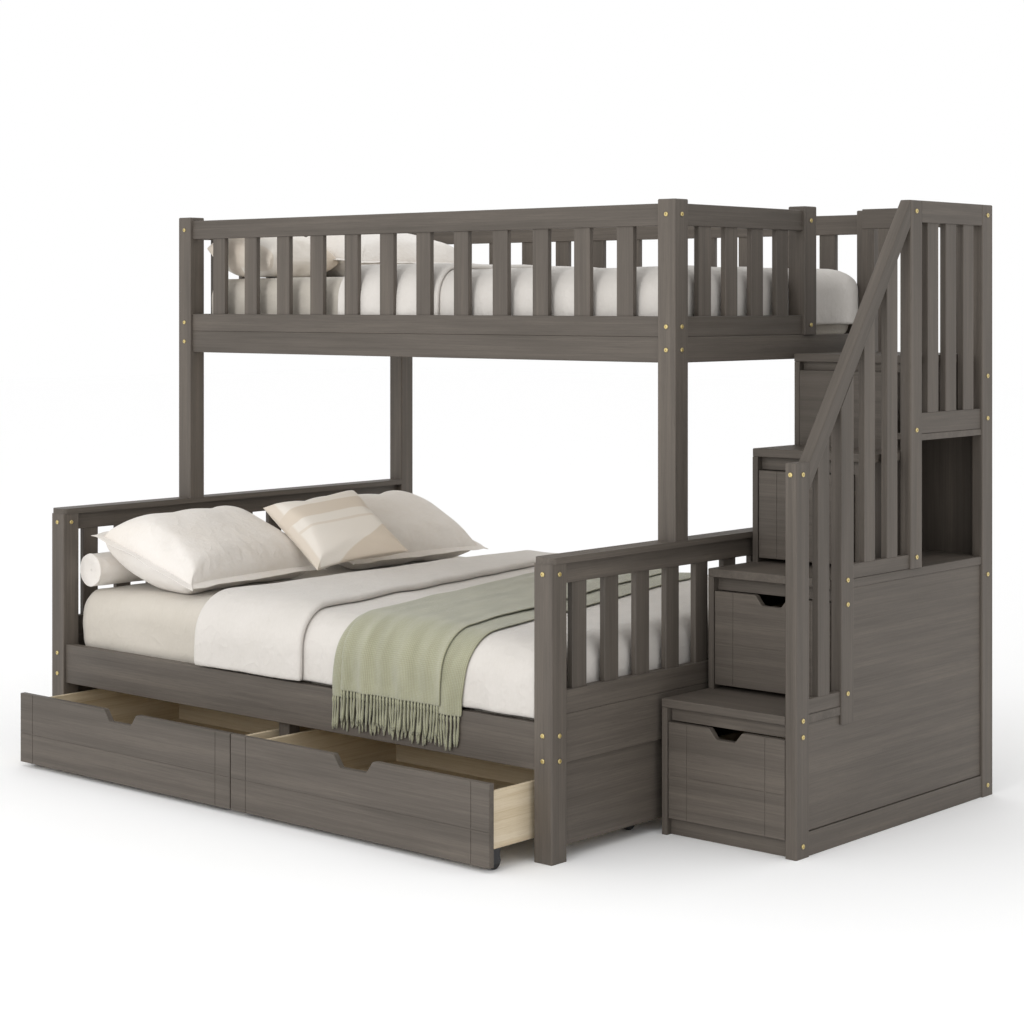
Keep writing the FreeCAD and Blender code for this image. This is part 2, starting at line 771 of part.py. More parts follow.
def stair_guards():
    """Rails and uprights of the guards beside the steps, beside the landing and behind it."""
    first_foot = "tread_one + foot_rail_high"
    second_foot = "tread_two + foot_rail_high"
    thick = "baluster_thick"
    size = (thick, "stile_front - newel_back", "foot_rail_high")
    rails = [board("first_foot", size, ("baluster_x", "newel_back", "tread_one"), "y")]
    size = (thick, "top_newel_y - stile_back", "foot_rail_high")
    rails.append(board("second_foot", size, ("baluster_x", "stile_back", "tread_two"), "y"))
    size = ("handrail_thick", "landing_guard_long", "guard_top_high")
    rails.append(board("landing_top", size, ("handrail_x", "top_newel_back", "stair_rail_base"), "y"))
    size = (thick, "landing_guard_long", "landing_foot_high")
    rails.append(board("landing_foot", size, ("baluster_x", "top_newel_back", "cubby_top"), "y"))
    size = ("back_guard_long", "panel_thick", "guard_top_high")
    rails.append(board("back_top", size, ("stair_left", "back_in", "stair_rail_base"), "x"))
    group("stair_guard_rails", rails)
    uprights = [sloped_baluster("low_baluster", "low_baluster_y", "baluster_wide", first_foot, thick,
                                "baluster_x")]
    for step in range(2):
        y = f"(stile_back + baluster_gap + {step} * (baluster_wide + baluster_gap))"
        uprights.append(sloped_baluster(f"baluster_{step}", y, "baluster_wide", second_foot, thick,
                                        "baluster_x"))
    size = (thick, "slat_wide", "stair_rail_base - landing_slat_base")
    for step in range(int(number("landing_guard_slats"))):
        y = f"top_newel_back + landing_guard_gap + {step} * (slat_wide + landing_guard_gap)"
        uprights.append(board(f"landing_slat_{step}", size, ("baluster_x", y, "landing_slat_base"), "z"))
    size = ("slat_wide", "panel_thick", "stair_rail_base - landing")
    for step in range(int(number("back_guard_slats"))):
        x = f"stair_left + back_guard_gap + {step} * (slat_wide + back_guard_gap)"
        uprights.append(board(f"back_slat_{step}", size, (x, "back_in", "landing"), "z"))
    uprights.append(sloped_baluster("stile", "stile_front", "newel_deep", "stile_foot", "handrail_thick",
                                    "handrail_x"))
    group("stair_guard_slats", uprights)


def drawer_front(name, wide, high, thick, notch, place):
    """A drawer front with a finger notch in its top edge and three shallow grooves."""
    notch_top, notch_foot, notch_deep = notch
    middle = f"({wide}) / 2"
    points = [
        ("0", "0"),
        (wide, "0"),
        (wide, high),
        (f"{middle} + {notch_top} / 2", high),
        (f"{middle} + {notch_foot} / 2", f"{high} - {notch_deep}"),
        (f"{middle} - {notch_foot} / 2", f"{high} - {notch_deep}"),
        (f"{middle} - {notch_top} / 2", high),
        ("0", high),
    ]
    body = outline_body(name, "XZ_Plane", points, thick, place, reverse=True)
    pad = body.Tip
    doc.recompute()
    corner_edges = [
        f"Edge{index}" for index, edge in enumerate(pad.Shape.Edges, start=1)
        if abs(edge.tangentAt(edge.FirstParameter).y) > 0.9 and in_notch(edge, pad.Shape.BoundBox, notch_deep)
    ]
    corners = body.newObject("PartDesign::Fillet", f"{name}_notch_corners")
    corners.Base = (pad, corner_edges)
    bind(corners, Radius="notch_round")
    doc.recompute()
    face_edges = [
        f"Edge{index}" for index, edge in enumerate(corners.Shape.Edges, start=1)
        if edge.BoundBox.YMax < corners.Shape.BoundBox.YMin + number("board_round") / 2
    ]
    ease = body.newObject("PartDesign::Fillet", f"{name}_face_edges")
    ease.Base = (corners, face_edges)
    bind(ease, Radius="front_round")
    for spot, size, at in (
        ("left", ("groove_wide", "groove_deep", high), ("groove_inset", "0")),
        ("right", ("groove_wide", "groove_deep", high), (f"{wide} - groove_inset - groove_wide", "0")),
        ("level", (wide, "groove_deep", "groove_wide"), ("0", f"({high} - {notch_deep}) / 2")),
    ):
        groove = body.newObject("PartDesign::SubtractiveBox", f"{name}_{spot}_groove")
        bind(groove, Length=size[0], Width=size[1], Height=size[2], x=at[0], z=at[1])
    doc.recompute()
    return body


def in_notch(edge, box, notch_deep):
    """Whether an edge that runs through the thickness is one of the notch's four corners."""
    middle = (box.XMin + box.XMax) / 2
    from_end = (box.XMax - box.XMin) / 2 - abs(edge.CenterOfMass.x - middle)
    near_top = edge.CenterOfMass.z > box.ZMax - 2 * number(notch_deep)
    return near_top and from_end > number("notch_round")


def drawer_box(label, wide, deep, high, place):
    """Two sides, a back and a floor. The drawer front closes the fourth side."""
    x, y, z = place
    far_side = f"{x} + {wide} - box_side_thick"
    inside = f"{wide} - 2 * box_side_thick"
    rear = f"{y} + {deep} - box_side_thick"
    side = ("box_side_thick", deep, high)
    pieces = [
        board(f"{label}_left", side, (x, y, z), "y"),
        board(f"{label}_right", side, (far_side, y, z), "y"),
        board(f"{label}_rear", (inside, "box_side_thick", high), (f"{x} + box_side_thick", rear, z), "x"),
        block(f"{label}_floor", (inside, f"{deep} - box_side_thick", "box_floor_thick"),
              (f"{x} + box_side_thick", y, z)),
    ]
    return group(label, pieces)


def step_drawers():
    """Three drawers inside the steps, and the runners that they slide on."""
    notch = ("step_notch_top", "step_notch_foot", "step_notch_deep")
    runners = []
    for name, y, base, top, wide, deep in (
        ("low", "stair_front", "step_front_low", "under_one", "step_front_wide", "step_box_deep"),
        ("middle", "front_two", "tread_one + step_front_rise", "under_two", "step_front_wide",
         "step_box_deep"),
        ("top", "front_three", "tread_two + step_front_rise", "under_three", "top_step_front_wide",
         "step_box_shallow"),
    ):
        face = f"{y} + step_front_set"
        high = f"({top} - step_front_drop - ({base}))"
        front = drawer_front(f"step_{name}", wide, high, "step_front_thick", notch,
                             ("step_front_x", face, base))
        node(front, f"{name}_step_drawer_front")
        box_x = "step_front_x + step_box_inset"
        box_wide = f"({wide} - 2 * step_box_inset)"
        behind = f"{face} + step_front_thick"
        box_base = f"{base} + step_box_rise"
        place = (box_x, behind, box_base)
        drawer_box(f"{name}_step_drawer_box", box_wide, deep, "step_box_high", place)
        wall = "inner_panel_x" if name == "top" else "side_panel_x"
        far_x = f"{box_x} + {box_wide} - runner_lap"
        runner_y = f"{y} + runner_set"
        runner_long = f"{deep} - runner_set"
        runner_z = f"{box_base} - runner_gap - runner_high"
        near = (f"{box_x} + runner_lap - stair_in", runner_long, "runner_high")
        far = (f"{wall} - ({far_x})", runner_long, "runner_high")
        runners.append(block(f"{name}_near_runner", near, ("stair_in", runner_y, runner_z)))
        runners.append(block(f"{name}_far_runner", far, (far_x, runner_y, runner_z)))
    group("step_drawer_runners", runners)


def caster(name, x, y):
    """A fork of one top plate and two cheeks, its axle, and the wheel that turns on it."""
    half_gap = "(wheel_wide / 2 + fork_gap)"
    cheek_high = "bay_box_low - fork_thick - wheel_radius + fork_deep / 4"
    cheek = ("fork_thick", "fork_deep", cheek_high)
    cheek_z = "wheel_radius - fork_deep / 4"
    front = f"{y} - fork_deep / 2"
    plate_size = (f"2 * ({half_gap} + fork_thick)", "fork_deep", "fork_thick")
    plate_place = (f"{x} - {half_gap} - fork_thick", front, "bay_box_low - fork_thick")
    fork = doc.addObject("Part::MultiFuse", f"{name}_fork")
    fork.Shapes = [
        block(f"{name}_plate", plate_size, plate_place),
        block(f"{name}_cheek_a", cheek, (f"{x} - {half_gap} - fork_thick", front, cheek_z)),
        block(f"{name}_cheek_b", cheek, (f"{x} + {half_gap}", front, cheek_z)),
    ]
    sideways = FreeCAD.Rotation(FreeCAD.Vector(0, 1, 0), 90)
    axle = cylinder(f"{name}_axle", "axle_radius", f"2 * {half_gap}", (f"{x} - {half_gap}", y, "wheel_radius"),
                    sideways)
    at = (f"{x} - wheel_wide / 2", y, "wheel_radius")
    tyre = rounded(cylinder(f"{name}_tyre", "wheel_radius", "wheel_wide", at, sideways), RIMS, "wheel_round")
    bore = cylinder(f"{name}_bore", "axle_radius + axle_clearance", "wheel_wide", at, sideways)
    wheel = doc.addObject("Part::Cut", f"{name}_wheel")
    wheel.Base = tyre
    wheel.Tool = bore
    return fork, axle, wheel


def cylinder(name, radius, long, place, turn):
    item = doc.addObject("Part::Cylinder", name)
    item.Placement = FreeCAD.Placement(FreeCAD.Vector(), turn)
    bind(item, Radius=radius, Height=long)
    settle(item, place)
    return item


def bay_drawers():
    """Two wide drawers under the bed, on casters, standing partly open."""
    notch = ("bay_notch_top", "bay_notch_foot", "bay_notch_deep")
    for side, front_x, box_inset in (
        ("left", "left_front_x", "bay_box_outer"),
        ("right", "right_front_x", "bay_box_centre"),
    ):
        front = drawer_front(f"bay_{side}", "bay_front_wide", "bay_front_high", "step_front_thick", notch,
                             (front_x, "bay_open_y", "bay_front_low"))
        node(front, f"{side}_bay_drawer_front")
        box_x = f"{front_x} + {box_inset}"
        drawer_box(f"{side}_bay_drawer_box", "bay_box_wide", "bay_box_deep", "bay_box_high",
                   (box_x, "bay_box_y", "bay_box_low"))
        holders = []
        for row, y in (("front", "bay_box_y + bay_caster_set"),
                       ("rear", "bay_box_y + bay_box_deep - bay_caster_set")):
            wheels = []
            for spot, x in (("a", f"{box_x} + bay_caster_side"),
                            ("b", f"{box_x} + bay_box_wide - bay_caster_side")):
                fork, axle, wheel = caster(f"{side}_{row}_{spot}", x, y)
                holders.extend((fork, axle))
                wheels.append(wheel)
            group(f"{side}_bay_{row}_wheels", wheels)
        group(f"{side}_bay_casters", holders)


def bolt(name, place, faces_front):
    """A domed bolt head with a hexagon socket, on a front face or on a face towards +X."""
    if faces_front:
        turn = FreeCAD.Rotation(FreeCAD.Vector(1, 0, 0), 90)
    else:
        turn = FreeCAD.Rotation(FreeCAD.Vector(0, 1, 0), 90)
    head = rounded(cylinder(f"{name}_head", "bolt_radius", "bolt_high", place, turn), FAR_RIM, "bolt_round")
    socket = doc.addObject("Part::Prism", f"{name}_socket")
    socket.Placement = FreeCAD.Placement(FreeCAD.Vector(), turn)
    bind(socket, Circumradius="socket_radius", Height="bolt_high")
    x, y, z = place
    settle(socket, (x, f"{y} - socket_floor", z) if faces_front else (f"{x} + socket_floor", y, z))
    cut = doc.addObject("Part::Cut", name)
    cut.Base = head
    cut.Tool = socket
    return cut


def bolt_rows():
    """Where the bolts go: post, whether on its front face, its face, its middle and the heights."""
    end_top = "cap_base - end_top_high / 2"
    side_low = "side_rail_base + (side_rail_high - bolt_pair) / 2"
    side_high = "side_rail_base + (side_rail_high + bolt_pair) / 2"
    guard_top = "guard_top_base + guard_top_high / 2"
    guard_low = "upper_rail_top + guard_low_high / 2"
    upper_rail = "upper_rail_base + upper_rail_high / 2"
    lower = (end_top, side_high, side_low)
    upper = (guard_top, guard_low, upper_rail)
    middle = "post_side / 2"
    newel_x = "newel_in + newel_thick / 2"
    landing_rail = "stair_rail_base + guard_top_high / 2"
    return (
        ("head_front", True, middle, "0", lower),
        ("head_side", False, "post_side", middle, (end_top,)),
        ("foot_front", True, f"foot_x + {middle}", "0", lower),
        ("foot_side", False, "bed_length", middle, lower),
        ("upper_head_front", True, middle, "upper_y", upper),
        ("upper_foot_front", True, f"foot_x + {middle}", "upper_y", upper),
        ("upper_foot_side", False, "bed_length", f"upper_y + {middle}", upper),
        ("entry_side", False, "bed_length", f"entry_post_y + {middle}", (guard_top, guard_low)),
        ("back_foot", True, f"foot_x + {middle}", "back_y", (guard_top,)),
        ("newel_front", True, newel_x, "stair_front", ("front_newel_top - bolt_inset",)),
        ("newel_side", False, "stair_right", "stair_front + newel_deep / 2",
         ("front_newel_top - bolt_inset", "under_one - bolt_inset", "under_one + tread_thick / 2",
          "skirt_high / 2")),
        ("stile_side", False, "handrail_x + handrail_thick", "stile_front + newel_deep / 2",
         ("tread_two", "tread_two - bolt_pair", "tread_one + bolt_inset")),
        ("top_newel_side", False, "stair_right", "top_newel_y + newel_deep / 2",
         (landing_rail, "cubby_ceiling + bolt_inset", "tread_two + bolt_inset")),
        ("back_post_side", False, "stair_right", "back_post_y + newel_deep / 2",
         (landing_rail, "landing - bolt_pair", "cubby_top + bolt_inset", "under_two - bolt_inset",
          "skirt_high / 2")),
    )


def bolts():
    heads = []
    for name, faces_front, x, y, heights in bolt_rows():
        for step, z in enumerate(heights):
            heads.append(bolt(f"{name}_bolt_{step}", (x, y, z), faces_front))
    group("bolt_heads", heads)


def mattresses():
    """Mattresses, each inside its rails."""
    size = ("mattress_long", "lower_mattress_wide", "lower_mattress_high")
    place = ("mattress_end", "lower_mattress_side", "lower_deck")
    node(board("lower_bed", size, place, "all", "mattress_round"), "lower_mattress")
    size = ("mattress_long", "upper_mattress_wide", "upper_mattress_high")
    place = ("mattress_end", "upper_mattress_y", "upper_deck")
    node(board("upper_bed", size, place, "all", "mattress_round"), "upper_mattress")


def falls(name, spans, long, top):
    """Ends of a duvet that hang at the foot of the bed, each between two posts."""
    hung = []
    for number_of_fall, (start, end) in enumerate(spans):
        size = ("duvet_fall_thick", f"{end} - ({start}) - 2 * duvet_fall_gap", long)
        place = ("duvet_end", f"{start} + duvet_fall_gap", f"{top} - {long}")
        hung.append(block(f"{name}_{number_of_fall}", size, place))
    return hung


def duvets():
    """Each duvet lies on its mattress and falls over the foot. The lower one also falls over both sides."""
    inner_low = "lower_mattress_top"
    near_in = "lower_mattress_side - duvet_gap"
    far_in = "bed_width - lower_mattress_side + duvet_gap"
    foot = "side_rail_top + duvet_gap"
    points = [
        ("duvet_side", foot),
        (near_in, foot),
        (near_in, inner_low),
        (far_in, inner_low),
        (far_in, foot),
        ("bed_width - duvet_side", foot),
        ("bed_width - duvet_side", "duvet_top"),
        ("duvet_side", "duvet_top"),
    ]
    long = "duvet_end - duvet_start"
    body = outline_body("lower_cover", "YZ_Plane", points, long, ("duvet_start", "0", "0"))
    hung = falls("lower_fall", [("post_side", "back_y")], "lower_fall", "duvet_top")
    group("lower_duvet", [body, *hung])
    size = ("duvet_end - upper_duvet_start", "upper_mattress_wide", "duvet_thick")
    place = ("upper_duvet_start", "upper_mattress_y", "upper_mattress_top")
    body = board("upper_cover", size, place, "x", "board_round")
    spans = [("upper_y + post_side", "entry_post_y"), ("entry_post_back", "back_y")]
    hung = falls("upper_fall", spans, "upper_fall", "upper_mattress_top + duvet_thick")
    group("upper_duvet", [body, *hung])


def throw():
    """A blanket laid aslant across the foot half, and its end that hangs over the front rail."""
    front = "rail_recess - throw_gap - throw_thick"
    far_end = "throw_start + throw_wide"
    drift = f"throw_skew * (throw_back - ({front}))"
    points = [
        ("throw_start", front),
        (far_end, front),
        (f"{far_end} - {drift}", "throw_back"),
        (f"throw_start - {drift}", "throw_back"),
    ]
    top = outline_body("throw_top", "XY_Plane", points, "throw_thick", ("0", "0", "duvet_top"))
    size = ("throw_wide", "throw_thick", "duvet_top - throw_foot")
    drop = block("throw_drop", size, ("throw_start - throw_flare", front, "throw_foot"))
    group("throw_blanket", [top, drop])


def leaning(name, size, place, angle, swing=0):
    """A cushion that leans back towards the head end, given by its lower front corner.

    The rounded front edge is let down until it rests at the height asked for.
    """
    lean = FreeCAD.Rotation(FreeCAD.Vector(0, 1, 0), 180 + number(angle))
    turn = FreeCAD.Rotation(FreeCAD.Vector(0, 0, 1), -swing) * lean
    box = doc.addObject("Part::Box", f"{name}_block")
    box.Placement = FreeCAD.Placement(FreeCAD.Vector(), turn)
    deep, long, thick = size
    bind(box, Length=deep, Width=long, Height=thick)
    x, y, z = place
    drop = f"pillow_round * (cos({angle}) + sin({angle}) - 1)"
    settle(box, (f"{x} + {thick} * sin({angle})", y, f"{z} + {thick} * cos({angle}) - {drop}"))
    return rounded(box, ALL_EDGES, "pillow_round")


def pillows():
    """Sleeping pillows, the bolster behind them, and the square cushions in front."""
    size = ("pillow_deep", "pillow_long", "pillow_thick")
    lower = []
    for step in range(2):
        y = f"pillow_side + {step} * (pillow_long + pillow_space)"
        lower.append(leaning(f"lower_pillow_{step}", size, ("pillow_front", y, "lower_mattress_top"), "pillow_tilt"))
    upper_y = "upper_mattress_y + upper_mattress_wide - pillow_long"
    size = ("upper_pillow_deep", "pillow_long", "upper_pillow_thick")
    upper = leaning("upper_pillow", size, ("upper_pillow_front", upper_y, "upper_mattress_top"), "upper_lean")
    group("pillows", lower + [upper])
    size = ("cushion_side", "cushion_side", "cushion_thick")
    place = ("cushion_front", "cushion_y", "duvet_top")
    low = leaning("lower_cushion", size, place, "cushion_lean", number("cushion_swing"))
    size = ("upper_cushion_side", "upper_cushion_side", "upper_cushion_thick")
    place = ("upper_cushion_front", "upper_mattress_y", "upper_mattress_top")
    group("square_cushions", [low, leaning("upper_cushion", size, place, "upper_lean")])
    along = FreeCAD.Rotation(FreeCAD.Vector(1, 0, 0), -90)
    place = ("bolster_x", "bolster_side", "lower_mattress_top + bolster_radius")
    node(rounded(cylinder("bolster_roll", "bolster_radius", "bolster_long", place, along), RIMS,
                 "duvet_round"), "bolster")


def check_document():
    """Stops when an object failed or a sub-part has no valid shape."""
    doc.recompute()
    for item in doc.Objects:
        if "Invalid" in item.State or "Error" in item.State:
            raise RuntimeError(f"{item.Label} did not recompute")
    for item in nodes:
        if item.Shape.isNull() or not item.Shape.isValid():
            raise RuntimeError(f"{item.Label} has no valid shape")


def export():
    os.makedirs("parts", exist_ok=True)
    for item in nodes:
        item.Shape.exportStep(f"parts/{item.Label}.step")


fill_sheet("Sizes", SIZES)
fill_sheet("Places", PLACES)
lower_posts()
upper_posts()
end_frames()
lower_rails()
decks()
upper_rails()
guards()
stair_sides()
treads()
stair_front()
cubby()
newels()
handrail()
stair_guards()
step_drawers()
bay_drawers()
bolts()
mattresses()
duvets()
throw()
pillows()
check_document()
export()
print(len(nodes), "nodes")
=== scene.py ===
"""Bunk bed with a storage staircase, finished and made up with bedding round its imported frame."""
import math
import random

import bmesh
import bpy
import numpy as np
from mathutils import Matrix, Vector, noise


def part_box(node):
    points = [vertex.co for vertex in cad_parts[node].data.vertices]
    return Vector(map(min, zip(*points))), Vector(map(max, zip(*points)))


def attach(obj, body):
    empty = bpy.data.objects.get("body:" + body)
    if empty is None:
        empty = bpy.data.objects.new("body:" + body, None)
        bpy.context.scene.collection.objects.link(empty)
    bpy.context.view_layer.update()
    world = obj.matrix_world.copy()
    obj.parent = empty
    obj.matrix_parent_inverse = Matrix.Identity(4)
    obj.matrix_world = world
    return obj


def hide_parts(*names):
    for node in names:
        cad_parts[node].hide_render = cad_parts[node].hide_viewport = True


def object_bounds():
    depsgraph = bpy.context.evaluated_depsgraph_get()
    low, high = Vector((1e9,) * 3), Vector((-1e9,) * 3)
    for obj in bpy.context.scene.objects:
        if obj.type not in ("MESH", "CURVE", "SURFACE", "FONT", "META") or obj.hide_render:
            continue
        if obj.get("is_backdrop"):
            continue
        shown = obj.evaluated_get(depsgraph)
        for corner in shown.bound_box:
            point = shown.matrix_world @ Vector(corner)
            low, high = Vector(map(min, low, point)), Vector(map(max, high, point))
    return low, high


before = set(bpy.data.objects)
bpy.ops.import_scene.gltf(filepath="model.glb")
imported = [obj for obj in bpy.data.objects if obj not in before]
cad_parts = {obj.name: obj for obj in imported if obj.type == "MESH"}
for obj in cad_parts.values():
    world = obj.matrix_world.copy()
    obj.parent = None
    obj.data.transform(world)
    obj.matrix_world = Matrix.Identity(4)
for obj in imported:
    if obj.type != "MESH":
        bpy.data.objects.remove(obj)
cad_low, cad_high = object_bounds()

X, Y, Z = 0, 1, 2
ROOT = "bed_frame"


# ---------------------------------------------------------------- finishes

def paint(red, green, blue):
    """A colour as a paint chart gives it, 0 to 255, made linear."""
    def linear(level):
        level /= 255
        return level / 12.92 if level <= 0.04045 else ((level + 0.055) / 1.055) ** 2.4
    return (linear(red), linear(green), linear(blue), 1.0)


class Signal:
    """A number or vector that varies over a surface. Arithmetic on it adds the Math nodes."""

    def __init__(self, finish, socket):
        self.finish = finish
        self.socket = socket

    def math(self, operation, *others):
        return self.finish.math(operation, self, *others)

    def __add__(self, other):
        return self.math("ADD", other)

    def __sub__(self, other):
        return self.math("SUBTRACT", other)

    def __rsub__(self, other):
        return self.finish.math("SUBTRACT", other, self)

    def __mul__(self, other):
        return self.math("MULTIPLY", other)

    __radd__ = __add__
    __rmul__ = __mul__

    def __abs__(self):
        return self.math("ABSOLUTE")

    def sine(self):
        return self.math("SINE")

    def above(self, level, softness):
        """0 below a level and 1 above it, with a soft step between."""
        settings = {"interpolation_type": "SMOOTHSTEP"}
        inputs = {"Value": self, 1: level - softness, 2: level + softness}
        return self.finish.node("MapRange", settings, inputs)

    def between(self, low, high, softness):
        """1 between two levels and 0 outside them."""
        return self.above(low, softness) * (1 - self.above(high, softness))

    def ridges(self, pitch):
        """Height of round ridges set a pitch apart, from 0 to 1."""
        return abs((self * (math.pi / pitch)).sine())


class Finish:
    """One material: a shader with its fixed values, and the nodes that feed it."""

    def __init__(self, name, **fixed):
        self.material = bpy.data.materials.new(name)
        self.material.use_nodes = True
        self.tree = self.material.node_tree
        self.shader = self.tree.nodes["Principled BSDF"]
        for socket, value in fixed.items():
            self.shader.inputs[socket.replace("_", " ")].default_value = value

    def node(self, kind, settings=None, inputs=None, output=0):
        made = self.tree.nodes.new(f"ShaderNode{kind}")
        for name, value in (settings or {}).items():
            if name == "stops":
                fill_ramp(made.color_ramp, value)
            else:
                setattr(made, name, value)
        for name, value in (inputs or {}).items():
            self.feed(made.inputs[name], value)
        return Signal(self, made.outputs[output])

    def feed(self, socket, value):
        if isinstance(value, Signal):
            self.tree.links.new(value.socket, socket)
        else:
            socket.default_value = value

    def math(self, operation, *operands):
        return self.node("Math", {"operation": operation}, dict(enumerate(operands)))

    def vector(self, operation, *operands):
        return self.node("VectorMath", {"operation": operation}, dict(enumerate(operands)))

    def place(self):
        """Where a point is on the object, in metres."""
        return self.node("TexCoord", output="Object")

    def cloth_place(self):
        """Where a point is on a sheet of cloth, in metres along and across it."""
        return self.node("TexCoord", output="UV")

    def parts_of(self, vector):
        split = self.tree.nodes.new("ShaderNodeSeparateXYZ")
        self.feed(split.inputs[0], vector)
        return [Signal(self, socket) for socket in split.outputs]

    def cloud(self, point, scale, detail=2.0, rough=0.5):
        """Soft noise from 0 to 1."""
        inputs = {"Vector": point, "Scale": scale, "Detail": detail, "Roughness": rough}
        return self.node("TexNoise", None, inputs)

    def ramp(self, factor, *stops):
        return self.node("ValToRGB", {"stops": stops}, {0: factor})

    def mix(self, factor, first, second):
        """One colour passing into another: sockets 6 and 7 of the node take the colours."""
        return self.node("Mix", {"data_type": "RGBA"}, {0: factor, 6: first, 7: second}, output=2)

    def colour(self, value):
        self.feed(self.shader.inputs["Base Color"], value)

    def roughness(self, value):
        self.feed(self.shader.inputs["Roughness"], value)

    def relief(self, height, depth, under=None):
        """Surface relief: a height from 0 to 1, and how deep 1 is, in metres."""
        inputs = {"Height": height, "Distance": depth, "Strength": 1.0}
        if under is not None:
            inputs["Normal"] = under
        normal = self.node("Bump", None, inputs)
        self.feed(self.shader.inputs["Normal"], normal)
        return normal


def fill_ramp(ramp, stops):
    """Stops are (position, colour)."""
    while len(ramp.elements) < len(stops):
        ramp.elements.new(1.0)
    for element, (position, colour) in zip(ramp.elements, stops):
        element.position = position
        element.color = colour


def lengthwise(axis, along, across):
    """How much to stretch a pattern along the grain and across it."""
    return tuple(along if direction == axis else across for direction in (X, Y, Z))


def wood(name, axis, deep, middle, pale, slope=0.0, gloss=0.48):
    """Straight-grained boards. The axis is the way the grain runs; slope turns it about X."""
    finish = Finish(name, Specular_IOR_Level=0.35, Coat_Roughness=0.35)
    point = finish.place()
    if slope:
        turn = {"rotation_type": "X_AXIS"}
        point = finish.node("VectorRotate", turn, {"Vector": point, "Angle": -slope})
    board = finish.node("Attribute", {"attribute_name": "board"}, output="Fac")
    shift = finish.node("CombineXYZ", None, {0: board * 5.3, 1: board * 9.1, 2: board * 7.7})
    point = finish.vector("ADD", point, shift)

    def pattern(along, across, detail, rough):
        stretched = finish.vector("MULTIPLY", point, lengthwise(axis, along, across))
        return finish.cloud(stretched, 1.0, detail, rough)

    figure = pattern(1.6, 17, 3, 0.55)
    bands = pattern(0.9, 55, 3, 0.6)
    streaks = pattern(4, 260, 3, 0.65)
    pores = pattern(22, 900, 2, 0.6)
    tone = figure * 0.34 + bands * 0.33 + streaks * 0.33 + (board - 0.5) * 0.07
    colour = finish.ramp(tone, (0.34, deep), (0.5, middle), (0.68, pale))
    dark_pores = pores.above(0.6, 0.06) * 0.4
    finish.colour(finish.mix(dark_pores, colour, deep))
    finish.roughness(gloss + streaks * 0.16)
    finish.relief(streaks * 0.7 + pores * 0.3, 0.00045)
    return finish.material


def metal(name, base, rough):
    """Turned metal with fine brushing and a little tarnish."""
    finish = Finish(name, Metallic=1.0)
    point = finish.place()
    tarnish = finish.cloud(point, 220, 3, 0.6)
    dull = tuple(level * 0.55 for level in base[:3]) + (1.0,)
    finish.colour(finish.mix(tarnish.above(0.58, 0.1) * 0.6, base, dull))
    finish.roughness(rough + tarnish * 0.2)
    finish.relief(finish.cloud(point, 1800, 2), 0.00008)
    return finish.material


def moulded(name, base, rough, grain=900):
    """Painted or moulded surface with a fine orange-peel texture and some dust."""
    finish = Finish(name)
    point = finish.place()
    dust = finish.cloud(point, 45, 4, 0.6)
    dusty = tuple(level * 1.9 + 0.01 for level in base[:3]) + (1.0,)
    finish.colour(finish.mix(dust.above(0.6, 0.15) * 0.5, base, dusty))
    finish.roughness(rough + dust * 0.2)
    finish.relief(finish.cloud(point, grain, 2), 0.0001)
    return finish.material


def woven(finish, point, pitch):
    """Height of a plain weave: threads over and under, from 0 to 1."""
    across, along, _ = finish.parts_of(point)
    return across.ridges(pitch) * 0.5 + along.ridges(pitch) * 0.5


def cotton(name, base, shade, creases=0.5):
    """Plain cotton: fine weave, soft creases, and a faint change of tone."""
    pitch = 0.0011
    bias = {"rotation_type": "EULER_XYZ"}
    finish = Finish(name, Specular_IOR_Level=0.2, Sheen_Weight=0.25, Sheen_Roughness=0.5)
    point = finish.place()
    patches = finish.cloud(point, 6, 3, 0.55)
    slubs = finish.cloud(finish.vector("MULTIPLY", point, (260, 60, 60)), 1.0, 2)
    tone = patches * 0.7 + slubs * 0.3
    finish.colour(finish.mix(tone.above(0.55, 0.25), base, shade))
    finish.roughness(0.8 + slubs * 0.12)
    tilted = finish.node("VectorRotate", bias, {"Vector": point, "Rotation": (0.5, 0.6, 0.1)})
    crease = 1 - abs(finish.cloud(point, 11, 3, 0.5) - 0.5) * 2
    soft = finish.relief(crease * crease * crease * crease, 0.004 * creases)
    finish.relief(woven(finish, tilted, pitch), 0.00022, soft)
    return finish.material


def patchwork(name, base, band, pale):
    """Cushion cloth woven in broad bands of two tones with ribs between them."""
    finish = Finish(name, Specular_IOR_Level=0.2, Sheen_Weight=0.3)
    point = finish.cloth_place()
    across, along, _ = finish.parts_of(point)
    wobble = finish.cloud(finish.vector("MULTIPLY", point, (9, 9, 9)), 1.0, 2) * 0.012
    ribs = along.ridges(0.004)
    wavy = along + wobble
    lower = wavy.between(0.105, 0.165, 0.003)
    middle = wavy.between(0.205, 0.217, 0.002)
    upper = (along + across * 0.5 + wobble).above(0.43, 0.004)
    side = 1 - (across + wobble).above(0.03, 0.004)
    bands = finish.math("MAXIMUM", lower * 0.75 + middle * 0.5, upper * 0.85 + side * 0.6)
    slubs = finish.cloud(finish.vector("MULTIPLY", point, (80, 900, 1)), 1.0, 3)
    ground = finish.mix(slubs * 0.5, base, pale)
    finish.colour(finish.mix(bands.math("MINIMUM", 1.0), ground, band))
    finish.roughness(0.85 + slubs * 0.1)
    finish.relief(ribs * 0.4 + slubs * 0.6, 0.0006)
    return finish.material


